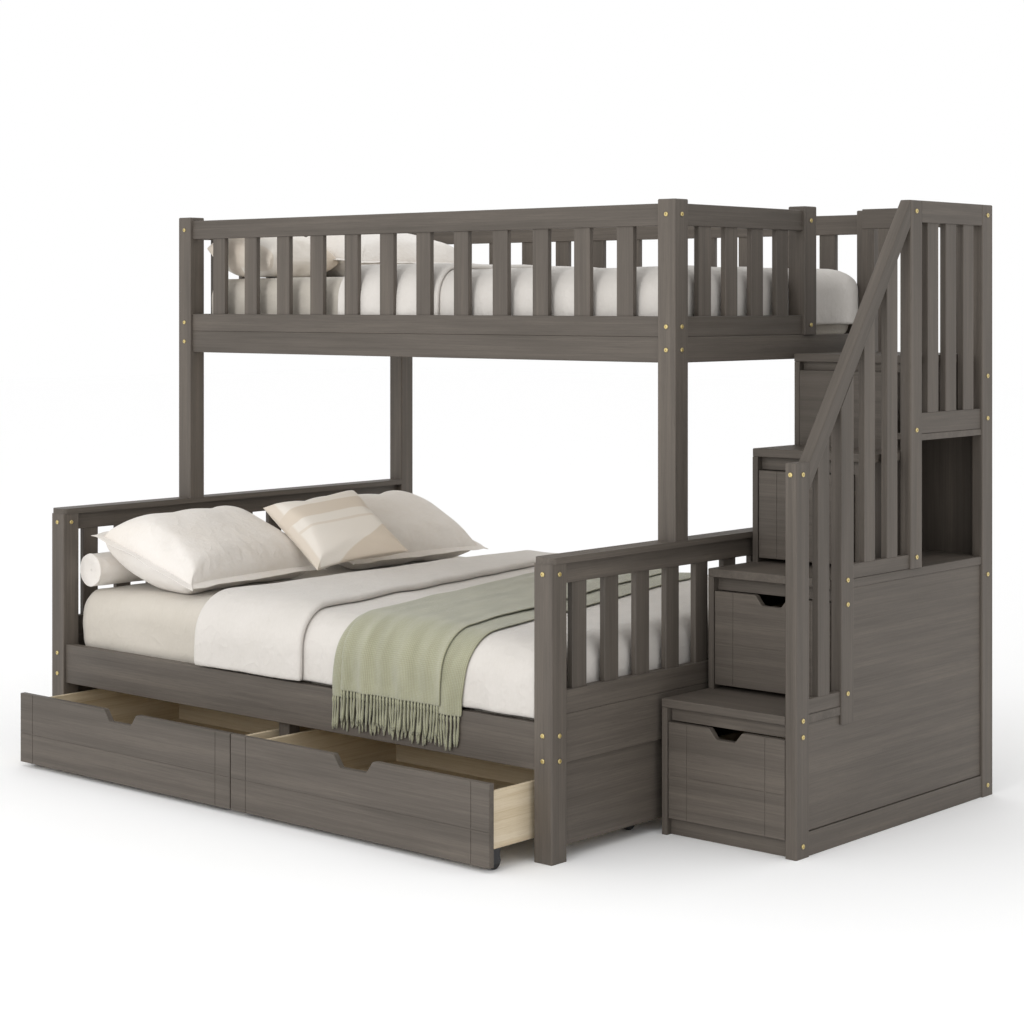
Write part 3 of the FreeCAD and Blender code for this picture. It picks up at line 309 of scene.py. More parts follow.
def knitted(name, base, shade, pale):
    """Soft knitted throw: rows of small stitches and mottled yarn, with painted light on the stitch
    ridges and painted shade in the grooves between them.
    """
    finish = Finish(name, Specular_IOR_Level=0.15, Sheen_Weight=0.45, Sheen_Roughness=0.6)
    point = finish.cloth_place()
    across, along, _ = finish.parts_of(point)
    stitch = 0.0052
    lean = across.ridges(stitch)
    rows = (along + lean * 0.0016).ridges(stitch * 0.8)
    yarn = lean * 0.55 + rows * 0.45
    fuzz = finish.cloud(finish.place(), 500, 3, 0.7)
    mottle = finish.cloud(finish.vector("MULTIPLY", point, (14, 5, 1)), 1.0, 4, 0.6)
    # The stitch height adds painted light on the ridge tops and painted shade in the grooves; the mottle
    # and fuzz are the yarn's own tone.
    tone = mottle * 0.5 + yarn * 0.35 + fuzz * 0.15
    finish.colour(finish.ramp(tone, (0.3, shade), (0.52, base), (0.75, pale)))
    finish.roughness(0.9 + fuzz * 0.08)
    soft = finish.relief(fuzz, 0.0006)
    finish.relief(yarn, 0.0013, soft)
    return finish.material


STAIN = (paint(75, 69, 62), paint(89, 82, 75), paint(105, 97, 88))
PINE = (paint(184, 164, 132), paint(206, 190, 162), paint(220, 207, 184))
GRAIN = {
    X: wood("stained_wood_along_x", X, *STAIN),
    Y: wood("stained_wood_along_y", Y, *STAIN),
    Z: wood("stained_wood_upright", Z, *STAIN),
}
PLAIN = {
    X: wood("pine_along_x", X, *PINE, gloss=0.55),
    Y: wood("pine_along_y", Y, *PINE, gloss=0.55),
    Z: wood("pine_upright", Z, *PINE, gloss=0.55),
}
BRASS = metal("satin_brass", paint(214, 196, 140), 0.28)
BLACK_METAL = moulded("black_caster_fork", paint(38, 38, 40), 0.42)
BLACK_RUBBER = moulded("black_caster_tyre", paint(28, 28, 29), 0.55, 400)
SHEET = cotton("mattress_sheet", paint(201, 194, 183), paint(193, 186, 174), creases=0.35)
COVER = cotton("duvet_cotton", paint(210, 205, 199), paint(203, 198, 191))
PILLOWCASE = cotton("pillowcase_cotton", paint(232, 227, 221), paint(225, 218, 209))
PATCHED = patchwork("patchwork_cushion", base=paint(230, 223, 213), band=paint(212, 198, 180),
                    pale=paint(238, 233, 226))
KNIT = knitted("sage_knit", paint(147, 146, 119), paint(120, 119, 94), paint(172, 170, 144))


# ---------------------------------------------------------------- frame nodes

def boards_of(mesh):
    """The number of the separate board that each face belongs to, and the places of the vertices."""
    places = np.empty(len(mesh.vertices) * 3)
    mesh.vertices.foreach_get("co", places)
    places = np.round(places.reshape(-1, 3), 5)
    _, label = np.unique(places, axis=0, return_inverse=True)
    label = label.reshape(-1)
    ends = np.empty(len(mesh.edges) * 2, int)
    mesh.edges.foreach_get("vertices", ends)
    first, second = label[ends.reshape(-1, 2)].T
    root = np.arange(label.max() + 1)
    while True:
        lower = np.minimum(root[first], root[second])
        before = root.copy()
        np.minimum.at(root, root[first], lower)
        np.minimum.at(root, root[second], lower)
        root = root[root]
        if (root == before).all():
            break
    corner = np.array([face.vertices[0] for face in mesh.polygons])
    return root[label[corner]], places


def dress(name, finishes, sheets=False):
    """Gives each board of a node the finish whose grain runs along that board.

    The sides of a box are sheets, so there the grain also stays in the plane of each face.
    """
    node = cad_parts[name]
    mesh = node.data
    mesh.materials.clear()
    for axis in (X, Y, Z):
        mesh.materials.append(finishes[axis])
    board, places = boards_of(mesh)
    draw = random.Random(name)
    shade = mesh.attributes.new("board", "FLOAT", "FACE")
    for number in np.unique(board):
        tint = draw.random()
        faces = np.flatnonzero(board == number)
        corners = places[[corner for face in faces for corner in mesh.polygons[face].vertices]]
        extent = corners.max(0) - corners.min(0)
        for face in faces:
            usable = extent.copy()
            if sheets:
                usable[int(np.argmax(np.abs(mesh.polygons[int(face)].normal)))] = 0
            mesh.polygons[int(face)].material_index = int(np.argmax(usable))
            shade.data[int(face)].value = tint


def cover(name, material):
    """Gives a whole node one finish."""
    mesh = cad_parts[name].data
    mesh.materials.clear()
    mesh.materials.append(material)


HANDRAIL_DEPTH = 0.078
PINE_NODES = ("lower_bed_slats", "upper_bed_slats", "slat_cleats", "step_drawer_runners")
SOFT_NODES = ("lower_mattress", "upper_mattress", "lower_duvet", "upper_duvet", "throw_blanket",
              "pillows", "square_cushions", "bolster")
for node_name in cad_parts:
    if node_name in SOFT_NODES:
        continue
    if node_name == "bolt_heads":
        cover(node_name, BRASS)
    elif node_name.endswith("_casters"):
        cover(node_name, BLACK_METAL)
    elif node_name.endswith("_wheels"):
        cover(node_name, BLACK_RUBBER)
    elif node_name.endswith("_box"):
        dress(node_name, PLAIN, sheets=True)
    elif node_name in PINE_NODES:
        dress(node_name, PLAIN)
    elif node_name == "stair_handrail":
        low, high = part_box(node_name)
        slope = math.atan2(high.z - low.z - HANDRAIL_DEPTH, high.y - low.y)
        cover(node_name, wood("stained_wood_sloping", Y, *STAIN, slope=slope))
    else:
        dress(node_name, GRAIN)


# ---------------------------------------------------------------- cloth tools

def finish_mesh(mesh, material, uvs=None):
    """Gives a mesh smooth faces, its material, and where each corner lies on the flat cloth."""
    mesh.materials.append(material)
    mesh.polygons.foreach_set("use_smooth", [True] * len(mesh.polygons))
    if uvs is not None:
        layer = mesh.uv_layers.new(name="cloth")
        for loop in mesh.loops:
            layer.data[loop.index].uv = uvs[loop.vertex_index]


def make_mesh(name, places, faces, material, uvs=None):
    mesh = bpy.data.meshes.new(name)
    mesh.from_pydata([tuple(place) for place in places], [], faces)
    finish_mesh(mesh, material, uvs)
    return mesh


def add_piece(name, mesh):
    piece = bpy.data.objects.new(name, mesh)
    bpy.context.scene.collection.objects.link(piece)
    return piece


def make_piece(name, places, faces, material, uvs=None):
    """A smooth mesh object from lists of places and faces."""
    return add_piece(name, make_mesh(name, places, faces, material, uvs))


def smooth(piece):
    modifier = piece.modifiers.new("smooth", "SUBSURF")
    modifier.levels = modifier.render_levels = 1


def thicken(piece, thick):
    """Gives a sheet its thickness, half of it to each side, and smooths it."""
    solid = piece.modifiers.new("thickness", "SOLIDIFY")
    solid.thickness = thick
    solid.offset = 0
    smooth(piece)


def declare_padding(piece, node_name=None):
    """Hangs a piece of bedding on the frame's body, and hides the frame node that it stands for, if any.
    """
    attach(piece, ROOT)
    if node_name:
        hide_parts(node_name)


def ripple(place, *waves):
    """Gentle unevenness at a place: each wave is (frequency along x, y, z, and its height)."""
    return sum(
        noise.noise(Vector((place[0] * fx, place[1] * fy, place[2] * fz))) * height
        for fx, fy, fz, height in waves
    )


def ease_step(value):
    """A soft step from 0 to 1 as a value goes from 0 to 1."""
    value = min(1.0, max(0.0, value))
    return value * value * (3 - 2 * value)


def plump(piece, frames, most, pressure=4.0, stiffness=12.0):
    """Blows up a closed cloth shape, moving no point further than most."""
    before = np.array([vertex.co for vertex in piece.data.vertices])
    cloth = piece.modifiers.new("cloth", "CLOTH")
    settings = cloth.settings
    settings.quality = 6
    settings.mass = 0.3
    settings.tension_stiffness = stiffness
    settings.compression_stiffness = stiffness
    settings.shear_stiffness = 4
    settings.bending_stiffness = 0.3
    settings.use_pressure = True
    settings.uniform_pressure_force = pressure
    settings.effector_weights.gravity = 0
    cloth.collision_settings.use_collision = False
    cloth.point_cache.frame_start = 1
    cloth.point_cache.frame_end = frames
    scene = bpy.context.scene
    for moment in range(1, frames + 1):
        scene.frame_set(moment)
    graph = bpy.context.evaluated_depsgraph_get()
    after = np.array([vertex.co for vertex in piece.evaluated_get(graph).data.vertices])
    piece.modifiers.remove(cloth)
    scene.frame_set(1)
    moved = after - before
    far = np.linalg.norm(moved, axis=1, keepdims=True)
    moved *= np.minimum(1.0, most / np.maximum(far, 1e-9))
    piece.data.vertices.foreach_set("co", (before + moved).ravel())
    piece.data.update()


# ---------------------------------------------------------------- mattresses

MATTRESS_CELLS = 56
PIPING_AT, PIPING_WIDTH, PIPING_HEIGHT = 0.72, 0.06, 0.0045


def mattress(node_name, edge):
    """A sprung mattress in its fitted sheet: soft edges, and piping round the two ends."""
    low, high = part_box(node_name)
    size = high - low
    middle = (low + high) / 2
    shape = bmesh.new()
    bmesh.ops.create_cube(shape, size=1)
    bmesh.ops.subdivide_edges(shape, edges=shape.edges[:], cuts=MATTRESS_CELLS, use_grid_fill=True)
    curve = Vector((0.6 * edge, 0.75 * edge, edge))
    inner = size / 2 - curve
    for vertex in shape.verts:
        crowded = [math.sin(math.pi * share) / 2 for share in vertex.co]
        place = Vector([share * length for share, length in zip(crowded, size)])
        core = Vector([max(-reach, min(reach, level)) for level, reach in zip(place, inner)])
        out = Vector([(a - b) / c for a, b, c in zip(place, core, curve)]).normalized()
        place = core + Vector([a * c for a, c in zip(out, curve)])
        world = place + middle
        sides = 1 - abs(out.z)
        waves = ((3.1, 3.1, 9, 0.005), (9, 9, 20, 0.0025), (22, 7, 6, 0.002 * sides))
        place += out * ripple(world, *waves)
        place -= out * 0.005
        place += out * PIPING_HEIGHT * math.exp(-(((abs(out.x) - PIPING_AT) / PIPING_WIDTH) ** 2))
        vertex.co = place + middle
    mesh = bpy.data.meshes.new(node_name + "_sheet")
    shape.to_mesh(mesh)
    shape.free()
    finish_mesh(mesh, SHEET)
    declare_padding(add_piece(node_name + "_sheet", mesh), node_name)


mattress("lower_mattress", edge=0.085)
mattress("upper_mattress", edge=0.07)


# ---------------------------------------------------------------- draped covers

class Drape:
    """The way that cloth runs over a mattress: up from a front hem, over the top and down behind.

    Distances along it are measured from the front hem. A place is given by how far it is along
    the bed, how far it is along the drape, and how high it lies off the mattress.
    Folds deepen towards the hems, and puffs rise on top.
    """

    fold_depth, fine_fold_depth = 0.008, 0.0055
    puff_height, fine_puff_height = 0.006, 0.0035

    def __init__(self, front, back, hem, top, bend):
        self.front, self.back, self.hem, self.top, self.bend = front, back, hem, top, bend
        self.rise = top - bend - hem
        self.turn = math.pi / 2 * bend
        self.flat = back - front - 2 * bend
        self.length = 2 * (self.rise + self.turn) + self.flat

    def section(self, along):
        """Place across the bed, height, and the way out from the mattress."""
        ends = (self.rise, self.rise + self.turn, self.rise + self.turn + self.flat,
                self.rise + 2 * self.turn + self.flat)
        if along < ends[0]:
            return self.front, self.hem + along, -1.0, 0.0
        if along < ends[1]:
            angle = (along - ends[0]) / self.bend
            return (self.front + self.bend * (1 - math.cos(angle)),
                    self.top - self.bend * (1 - math.sin(angle)), -math.cos(angle), math.sin(angle))
        if along < ends[2]:
            return self.front + self.bend + along - ends[1], self.top, 0.0, 1.0
        if along < ends[3]:
            angle = (along - ends[2]) / self.bend
            return (self.back - self.bend * (1 - math.sin(angle)),
                    self.top - self.bend * (1 - math.cos(angle)), math.sin(angle), math.cos(angle))
        return self.back, self.top - self.bend - (along - ends[3]), 1.0, 0.0

    def fall(self, along):
        """0 on the top of the bed, growing to 1 at either hem."""
        reach = self.rise + self.turn
        return max(0.0, 1 - along / reach, 1 - (self.length - along) / reach)

    def place(self, x, along, lift):
        across, height, out_y, out_z = self.section(along)
        fall = self.fall(along)
        deepening = ease_step(fall)
        slack = noise.noise(Vector((x * 10, along * 1.3, 4.2))) * self.fold_depth * deepening
        fine_slack = noise.noise(Vector((x * 25 + along * 3, along * 1.8, 1.7)))
        slack += fine_slack * self.fine_fold_depth * deepening
        puff = noise.noise(Vector((x * 2.6, along * 2.6, 0.3))) * self.puff_height * (1 - fall)
        fine_puff = noise.noise(Vector((x * 7 + along * 4, along * 6, 8.1)))
        puff += fine_puff * self.fine_puff_height * (1 - 0.5 * fall)
        high = lift + slack + puff * (1 if fall < 1 else 0)
        return Vector((x, across + out_y * high, height + out_z * high))


def grid_faces(rows, count):
    """Faces of a sheet whose places come row by row."""
    corners = [row * count + column for row in range(rows - 1) for column in range(count - 1)]
    return [(corner, corner + 1, corner + count + 1, corner + count) for corner in corners]


class Duvet:
    """A duvet turned down at the head, with its flap on top of it, and hanging at the foot.

    The head is where it turns down, the flap is how far the turned part reaches, the edge is the
    end of the mattress, and the fall is how far it hangs there. Open spans lie between posts.
    """

    flap_steps, turn_steps, body_steps, foot_steps = 26, 9, 74, 22
    bend = 0.06
    post_margin = 0.02
    tucked, standing = 0.007, 0.016

    def __init__(self, drape, head, flap, slant, edge, fall, open_spans, thick):
        self.drape, self.head, self.flap, self.slant = drape, head, flap, slant
        self.edge, self.fall, self.open_spans, self.thick = edge, fall, open_spans, thick
        self.half = thick * 0.62

    def stations(self):
        """Rows from the end of the flap to the foot: the part each is in, and how far along it."""
        rows = [("flap", step / self.flap_steps) for step in range(self.flap_steps + 1)]
        rows += [("turn", step / self.turn_steps) for step in range(1, self.turn_steps)]
        rows += [("body", step / self.body_steps) for step in range(self.body_steps + 1)]
        return rows + [("foot", step / self.foot_steps) for step in range(1, self.foot_steps + 1)]

    def foot_face(self, across):
        """How far the hanging end stands out: in front of the mattress, but never at a post."""
        out = max(
            ease_step((across - start) / self.post_margin) * ease_step((end - across) / self.post_margin)
            for start, end in self.open_spans
        )
        return self.edge - self.tucked + self.standing * out

    def place(self, station, along):
        part, share = station
        base = 0.5 * self.thick + 0.001
        across = self.drape.section(along)[0]
        waver = noise.noise(Vector((along * 6, 2.2, 5.0))) * 0.006
        if part == "flap":
            end = self.flap - self.slant * (across - self.drape.front) + waver
            lift = base + 2 * self.half - 0.004 * math.exp(-share * 30)
            return self.drape.place(end + (self.head - end) * share, along, lift)
        if part == "turn":
            x = self.head + waver * share - self.half * math.sin(math.pi * share)
            return self.drape.place(x, along, base + self.half + self.half * math.cos(math.pi * share))
        face = self.foot_face(across)
        if part == "body":
            return self.drape.place(self.head + (face - self.bend - self.head) * share, along, base)
        run = share * (math.pi / 2 * self.bend + self.fall - self.bend)
        angle = min(math.pi / 2, run / self.bend)
        drop = self.bend * (1 - math.cos(angle)) + max(0.0, run - math.pi / 2 * self.bend)
        x = face - self.bend + self.bend * math.sin(angle)
        spot = self.drape.place(x, along, base)
        spot.x += noise.noise(Vector((across * 13, spot.z * 1.5, 6.6))) * 0.004 * share
        spot.z = min(spot.z, self.drape.top + base - drop)
        return spot


def duvet(node_name, shape, columns):
    stations = shape.stations()
    places = [
        shape.place(station, shape.drape.length * column / columns)
        for station in stations for column in range(columns + 1)
    ]
    piece = make_piece(node_name + "_cover", places, grid_faces(len(stations), columns + 1), COVER)
    thicken(piece, shape.thick)
    declare_padding(piece, node_name)


lower_low, lower_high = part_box("lower_mattress")
duvet_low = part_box("lower_duvet")[0]
upper_low, upper_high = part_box("upper_mattress")
upper_cover_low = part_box("upper_duvet")[0]
near_post, far_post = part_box("foot_front_post")[1].y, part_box("foot_back_post")[0].y
entry_low, entry_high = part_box("entry_post")
upper_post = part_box("upper_foot_post")[1].y
side_gap = 0.015
foot_fall = 0.165
lower_thick, upper_thick = 0.019, 0.0145
lower_drape = Drape(front=lower_low.y - side_gap, back=lower_high.y + side_gap,
                    hem=duvet_low.z + 0.004, top=lower_high.z + 0.001, bend=0.088)
upper_drape = Drape(front=upper_low.y - 0.001, back=upper_high.y + 0.001,
                    hem=upper_low.z + 0.065, top=upper_high.z + 0.001, bend=0.075)
duvet("lower_duvet", Duvet(
    lower_drape, head=duvet_low.x + 0.03, flap=duvet_low.x + 0.47, slant=0.17, edge=lower_high.x,
    fall=foot_fall, open_spans=[(near_post, far_post)], thick=lower_thick), columns=120)
duvet("upper_duvet", Duvet(
    upper_drape, head=upper_cover_low.x, flap=upper_cover_low.x + 0.42, slant=0.12, edge=upper_high.x,
    fall=foot_fall, open_spans=[(upper_post, entry_low.y), (entry_high.y, far_post)],
    thick=upper_thick), columns=90)


# ---------------------------------------------------------------- throw

rail_face, rail_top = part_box("lower_side_rails")[0].y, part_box("lower_side_rails")[1].z
throw_wide = 0.47
throw_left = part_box("throw_blanket")[1].x - throw_wide
cover_lift = lower_thick + 0.004
layer_lift = 0.0075
rail_clearance, rail_margin = 0.003, 0.03
knit_thick = 0.0042
throw_columns, throw_rows = 34, 150


def throw_layer(name, left, right, flare, hem, lift, back, skew, folds):
    """One layer of the folded throw: aslant on top, hanging straight over the front."""
    wide, long = throw_columns, throw_rows
    overhang = lower_drape.hem - hem
    front_reach = lower_drape.rise + lower_drape.turn
    whole = overhang + front_reach + back
    places, uvs = [], []
    for row in range(long + 1):
        run = whole * row / long
        along = run - overhang
        across = max(0.0, along - front_reach)
        hanging = ease_step(1 - along / front_reach)
        for column in range(wide + 1):
            share = column / wide
            x = left + (right - left) * share - skew * across - flare * hanging * (1 - 0.3 * share)
            crease = math.sin(share * folds * math.tau + 2.2 * math.sin(run * 2.1 + left)) * 0.0035
            crease += noise.noise(Vector((share * 9, run * 1.6, left * 3))) * 0.006
            crease *= 0.25 + 0.75 * hanging
            settled = lift + max(0.0, crease + 0.003)
            spot = lower_drape.place(x, max(0.0, along), settled)
            if along < 0:
                spot.z += along
            if spot.z < rail_top + rail_margin and spot.y < 0:
                over_rail = rail_face - rail_clearance - (lift - cover_lift) - max(0.0, crease)
                spot.y = min(spot.y, over_rail)
            places.append(spot)
            uvs.append(((right - left) * share, run))
    piece = make_piece(name, places, grid_faces(long + 1, wide + 1), KNIT, uvs)
    thicken(piece, knit_thick)
    hem_line = places[:wide + 1]
    return piece, hem_line, (right - left, whole)


def fringe(name, hem_line, seed):
    """Knotted tassels along a hem, each a soft tapering cord that hangs a little askew."""
    spacing, long, thick = 0.0122, 0.094, 0.0039
    knot = {1: 1.25, 2: 0.8}
    draw = random.Random(seed)
    runs = [(hem_line[i + 1] - hem_line[i]).length for i in range(len(hem_line) - 1)]
    total = sum(runs)
    places, faces, uvs = [], [], []
    rings, sides = 9, 8
    for number in range(int(total / spacing)):
        target = (number + 0.5) * spacing
        index = 0
        while target > runs[index]:
            target -= runs[index]
            index += 1
        top = hem_line[index].lerp(hem_line[index + 1], target / runs[index])
        sway = Vector((draw.uniform(-0.007, 0.007), draw.uniform(-0.004, 0.0), 0))
        reach = long * draw.uniform(0.9, 1.06)
        start = len(places)
        for ring in range(rings):
            share = ring / (rings - 1)
            swell = knot.get(ring, 1.0 + 0.25 * math.sin(share * 9 + number))
            radius = thick * swell * (0.55 if ring in (0, rings - 1) else 1)
            centre = top + sway * share * share + Vector((0, 0, 0.004 - reach * share))
            for side in range(sides):
                angle = math.tau * side / sides + share * 3
                offset = Vector((math.cos(angle), 0.75 * math.sin(angle), 0)) * radius
                places.append(centre + offset)
                uvs.append((side * 0.0022, share * reach))
        for ring in range(rings - 1):
            for side in range(sides):
                following = (side + 1) % sides
                faces.append((start + ring * sides + side, start + ring * sides + following,
                              start + (ring + 1) * sides + following, start + (ring + 1) * sides + side))
        faces.append(tuple(start + side for side in range(sides))[::-1])
        faces.append(tuple(start + (rings - 1) * sides + side for side in range(sides)))
    return make_piece(name, places, faces, KNIT, uvs)


under, under_hem, under_flat = throw_layer(
    "throw_under_layer", left=throw_left - 0.012, right=throw_left + 0.478, flare=0.036, hem=0.345,
    lift=cover_lift, back=1.34, skew=0.21, folds=2.5)
over, over_hem, over_flat = throw_layer(
    "throw_top_layer", left=throw_left + 0.006, right=throw_left + 0.392, flare=0.012, hem=0.366,
    lift=cover_lift + layer_lift, back=1.36, skew=0.235, folds=5)
under_fringe = fringe("throw_under_fringe", under_hem, seed=11)
over_fringe = fringe("throw_top_fringe", over_hem, seed=12)
for piece in (under, over, under_fringe, over_fringe):
    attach(piece, ROOT)
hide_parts("throw_blanket")


# ---------------------------------------------------------------- pillows

CLOTH_FRAMES, CLOTH_TRAVEL = 16, 0.012
RESTING = 0.004


def pillow(name, deep, wide, thick, pose, rest, material, slot_name, fill, node_name=None, flange=0.0,
           pinch=0.035, rows=44, columns=56):
    """A filled cushion: crowned, drawn in between its corners, and flat where it lies on something."""
    places, uvs = [], []
    inner_deep, inner_wide = deep - 2 * flange, wide - 2 * flange

    def outline(u, v):
        """Sides curve inwards between the corners."""
        x = inner_deep / 2 * u * (1 - pinch * (1 - v * v) * abs(u))
        y = inner_wide / 2 * v * (1 - pinch * 0.8 * (1 - u * u) * abs(v))
        return x, y

    def crown(u, v):
        fullness = 1 - 0.16 * u
        return thick / 2 * fullness * ((1 - abs(u) ** 3) * (1 - abs(v) ** 5.5)) ** 0.55

    index = {}
    for face in (1, -1):
        for row in range(rows + 1):
            for column in range(columns + 1):
                u = math.sin(math.pi / 2 * (2 * row / rows - 1))
                v = math.sin(math.pi / 2 * (2 * column / columns - 1))
                rim = row in (0, rows) or column in (0, columns)
                if rim and face == -1:
                    index[face, row, column] = index[1, row, column]
                    continue
                index[face, row, column] = len(places)
                x, y = outline(u, v)
                lump = 1 + 0.12 * noise.noise(Vector((x * 8, y * 8, face * 2 + thick * 40)))
                places.append(Vector((x, y, face * crown(u, v) * lump)))
                uvs.append((y + inner_wide / 2, x + inner_deep / 2))
    faces = []
    for face in (1, -1):
        for row in range(rows):
            for column in range(columns):
                loop = [index[face, row, column], index[face, row + 1, column],
                        index[face, row + 1, column + 1], index[face, row, column + 1]]
                faces.append(tuple(loop if face == 1 else loop[::-1]))
    rim = [index[1, 0, column] for column in range(columns)]
    rim += [index[1, row, columns] for row in range(rows)]
    rim += [index[1, rows, column] for column in range(columns, 0, -1)]
    rim += [index[1, row, 0] for row in range(rows, 0, -1)]
    piece = make_piece(name, places, faces, material, uvs)
    plump(piece, CLOTH_FRAMES, CLOTH_TRAVEL)
    shape = [vertex.co.copy() for vertex in piece.data.vertices]
    if flange:
        add_flange(shape, faces, uvs, rim, flange, inner_deep, inner_wide)
    turned = [pose @ place for place in shape]
    for place in turned:
        level = rest(place)
        if place.z < level + RESTING:
            place.z = level + RESTING * math.exp(min(0.0, place.z - level - RESTING) * 60)
    old = piece.data
    piece.data = make_mesh(name, turned, faces, material, uvs)
    bpy.data.meshes.remove(old)
    smooth(piece)
    declare_padding(piece, node_name)


def add_flange(shape, faces, uvs, rim, flange, deep, wide):
    """A flat double border round a pillowcase, sewn on at the rim and gently waved."""
    count = len(rim)
    start = len(shape)
    thick, seam_overlap = 0.0016, 0.004
    upper_side = [(0.0, thick * 2.2), (0.5, thick), (1.0, thick)]
    steps = upper_side + [(share, -height) for share, height in reversed(upper_side)]
    for vertex in rim:
        seam = shape[vertex]
        corner = Vector((math.copysign(deep / 2, seam.x), math.copysign(wide / 2, seam.y), 0))
        outward = Vector((
            max(-1.0, min(1.0, (seam.x / (deep / 2)) ** 7)),
            max(-1.0, min(1.0, (seam.y / (wide / 2)) ** 7)), 0))
        if outward.length < 0.9:
            outward.normalize()
        near_corner = max(0.0, 1 - (corner - Vector((seam.x, seam.y, 0))).length / 0.05)
        outward *= 1 + 0.05 * near_corner
        for share, height in steps:
            wave = noise.noise(Vector((seam.x * 14, seam.y * 14, 3.3))) * 0.009 * share
            shape.append(seam - outward * seam_overlap + outward * (flange + seam_overlap) * share
                         + Vector((0, 0, height + wave)))
            uvs.append((seam.y + wide / 2 + outward.y * flange * share,
                        seam.x + deep / 2 + outward.x * flange * share))
    ring = len(steps)
    for number in range(count):
        here, there = start + number * ring, start + (number + 1) % count * ring
        for step in range(ring - 1):
            faces.append((here + step, there + step, there + step + 1, here + step + 1))


def posed(centre, tilt, swing=0.0, roll=0.0):
    """Leaning back towards the head end by tilt, swung about the upright, rolled in its own plane."""
    return (Matrix.Translation(centre)
            @ Matrix.Rotation(math.radians(swing), 4, "Z")
            @ Matrix.Rotation(math.radians(tilt), 4, "Y")
            @ Matrix.Rotation(math.radians(roll), 4, "Z"))


head_x = cad_low.x
front_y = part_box("head_front_post")[0].y
mattress_give = 0.004
lower_top = lower_high.z - mattress_give
upper_top = upper_high.z - mattress_give


def on_lower(place):
    """Height that a pillow lies on: the sheet, or the duvet past its edge."""
    return lower_top + (0.02 if place.x > duvet_low.x + 0.02 else 0.0)


def on_upper(place):
    """Height that an upper pillow lies on, the same at every place."""
    return upper_top


def case_pillow(name, size, pose, rest, flange, node_name=None):
    pillow(name, *size, pose, rest, PILLOWCASE, "pillow_cloth", 0.7, node_name, flange)


def square_cushion(name, size, pose, rest, node_name=None):
    pillow(name, *size, pose, rest, PATCHED, "cushion_cloth", 0.75, node_name,
           pinch=0.07, rows=36, columns=36)


case_pillow("lower_pillow_near", (0.48, 0.69, 0.185),
            posed(Vector((head_x + 0.318, front_y + 0.4, lower_top + 0.105)), tilt=19, swing=6.7),
            on_lower, 0.032, "pillows")
case_pillow("lower_pillow_far", (0.48, 0.69, 0.17),
            posed(Vector((head_x + 0.322, front_y + 1.185, lower_top + 0.112)), tilt=19, swing=-2),
            on_lower, 0.032)
square_cushion("lower_cushion", (0.38, 0.38, 0.085),
               posed(Vector((head_x + 0.513, front_y + 0.78, lower_top + 0.161)), tilt=30, swing=-23,
                     roll=12), on_lower, "square_cushions")
case_pillow("upper_pillow", (0.44, 0.66, 0.15),
            posed(Vector((head_x + 0.31, front_y + 1.2, upper_top + 0.074)), tilt=6, swing=1),
            on_upper, 0.03)
square_cushion("upper_cushion", (0.32, 0.33, 0.15),
               posed(Vector((head_x + 0.235, front_y + 0.755, upper_top + 0.077)), tilt=9),
               on_upper)


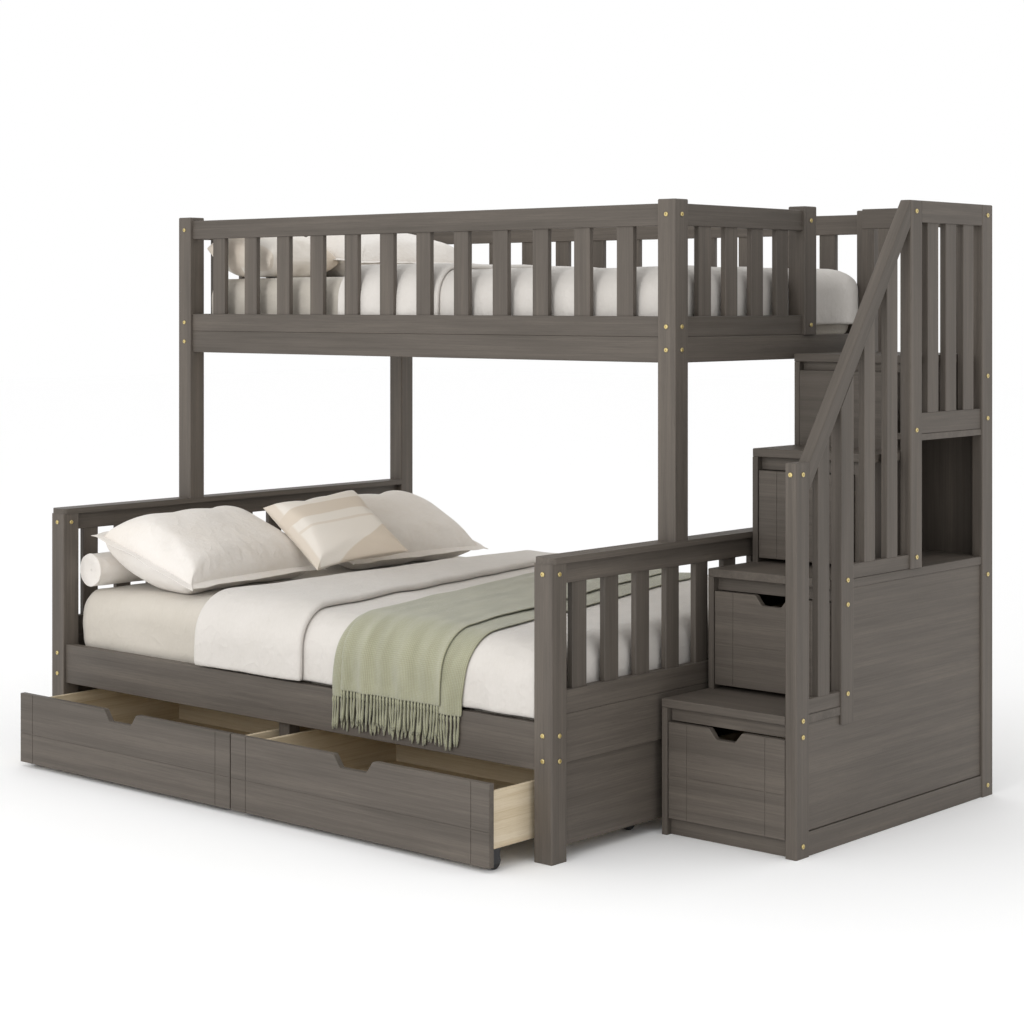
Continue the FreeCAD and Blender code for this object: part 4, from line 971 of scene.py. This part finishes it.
def bolster():
    """A round bolster with piped, drawn-in ends."""
    low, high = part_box("bolster")
    radius = (high.z - low.z) / 2
    centre_x, centre_z = (low.x + high.x) / 2, (low.z + high.z) / 2
    long = high.y - low.y
    profile = [(0.004, 0.0), (0.004, 0.25), (0.0, 0.55), (-0.001, 0.8), (0.0, 0.93), (-0.002, 0.99),
               (0.002, 1.02), (0.006, 0.985), (0.03, 0.99)]
    steps, sides = 26, 48
    sections = [(low.y + offset, share) for offset, share in profile]
    sections += [(low.y + long * step / steps, 1.0) for step in range(1, steps)]
    sections += [(high.y - offset, share) for offset, share in reversed(profile)]
    places, uvs = [], []
    for y, share in sections:
        for side in range(sides):
            angle = math.tau * side / sides
            out_x, out_z = math.cos(angle), math.sin(angle)
            bulge = ripple((out_x, y * 9, out_z), (1.5, 1, 1.5, 0.0025), (4, 3, 4, 0.0012))
            reach = radius * share + bulge * min(1.0, share * 2) - 0.002
            places.append(Vector((centre_x + reach * out_x, y, centre_z + reach * out_z)))
            uvs.append((y, angle * radius))
    faces = []
    for ring in range(len(sections) - 1):
        for side in range(sides):
            following = (side + 1) % sides
            faces.append((ring * sides + side, (ring + 1) * sides + side,
                          (ring + 1) * sides + following, ring * sides + following))
    piece = make_piece("bolster_cover", places, faces, PILLOWCASE, uvs)
    shape = bmesh.new()
    shape.from_mesh(piece.data)
    bmesh.ops.remove_doubles(shape, verts=shape.verts[:], dist=0.0001)
    shape.to_mesh(piece.data)
    shape.free()
    smooth(piece)
    declare_padding(piece, "bolster")


bolster()


# ---------------------------------------------------------------- floor, light and camera

def floor():
    finish = Finish("pale_floor", Roughness=0.9, Specular_IOR_Level=0.1)
    specks = finish.cloud(finish.place(), 3, 2)
    finish.colour(finish.mix(specks * 0.3, paint(255, 255, 255), paint(253, 253, 253)))
    reach = 30.0
    corners = [(-reach, -reach, 0), (reach, -reach, 0), (reach, reach, 0), (-reach, reach, 0)]
    make_piece("floor", corners, [(0, 1, 2, 3)], finish.material)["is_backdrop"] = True


def soft_light(name, place, target, size, power):
    lamp = bpy.data.lights.new(name, "AREA")
    lamp.shape = "RECTANGLE"
    lamp.size, lamp.size_y = size
    lamp.energy = power
    holder = bpy.data.objects.new(name, lamp)
    holder.location = place
    holder.rotation_euler = (Vector(target) - Vector(place)).to_track_quat("-Z", "Y").to_euler()
    bpy.context.scene.collection.objects.link(holder)


floor()
world = bpy.data.worlds.new("studio")
world.use_nodes = True
daylight = world.node_tree.nodes["Background"]
daylight.inputs["Color"].default_value = (1, 1, 1, 1)
daylight.inputs["Strength"].default_value = 1.0
scene = bpy.context.scene
scene.world = world
scene.view_settings.view_transform = "Standard"
soft_light("key", place=(1.0, -8.0, 3.6), target=(0, 0, 0.6), size=(3, 3), power=190)

camera_data = bpy.data.cameras.new("camera")
camera_data.sensor_width = 36
camera_data.lens = 76.8
camera_data.shift_y = -0.2044
camera_data.clip_end = 100
camera = bpy.data.objects.new("camera", camera_data)
past_head, in_front, eye_height = 5.786, 4.327, 1.462
camera.location = (head_x + past_head, front_y - in_front, eye_height)
camera.rotation_euler = (math.radians(90), 0, math.radians(41.3))
scene.collection.objects.link(camera)
scene.camera = camera

low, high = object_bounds()
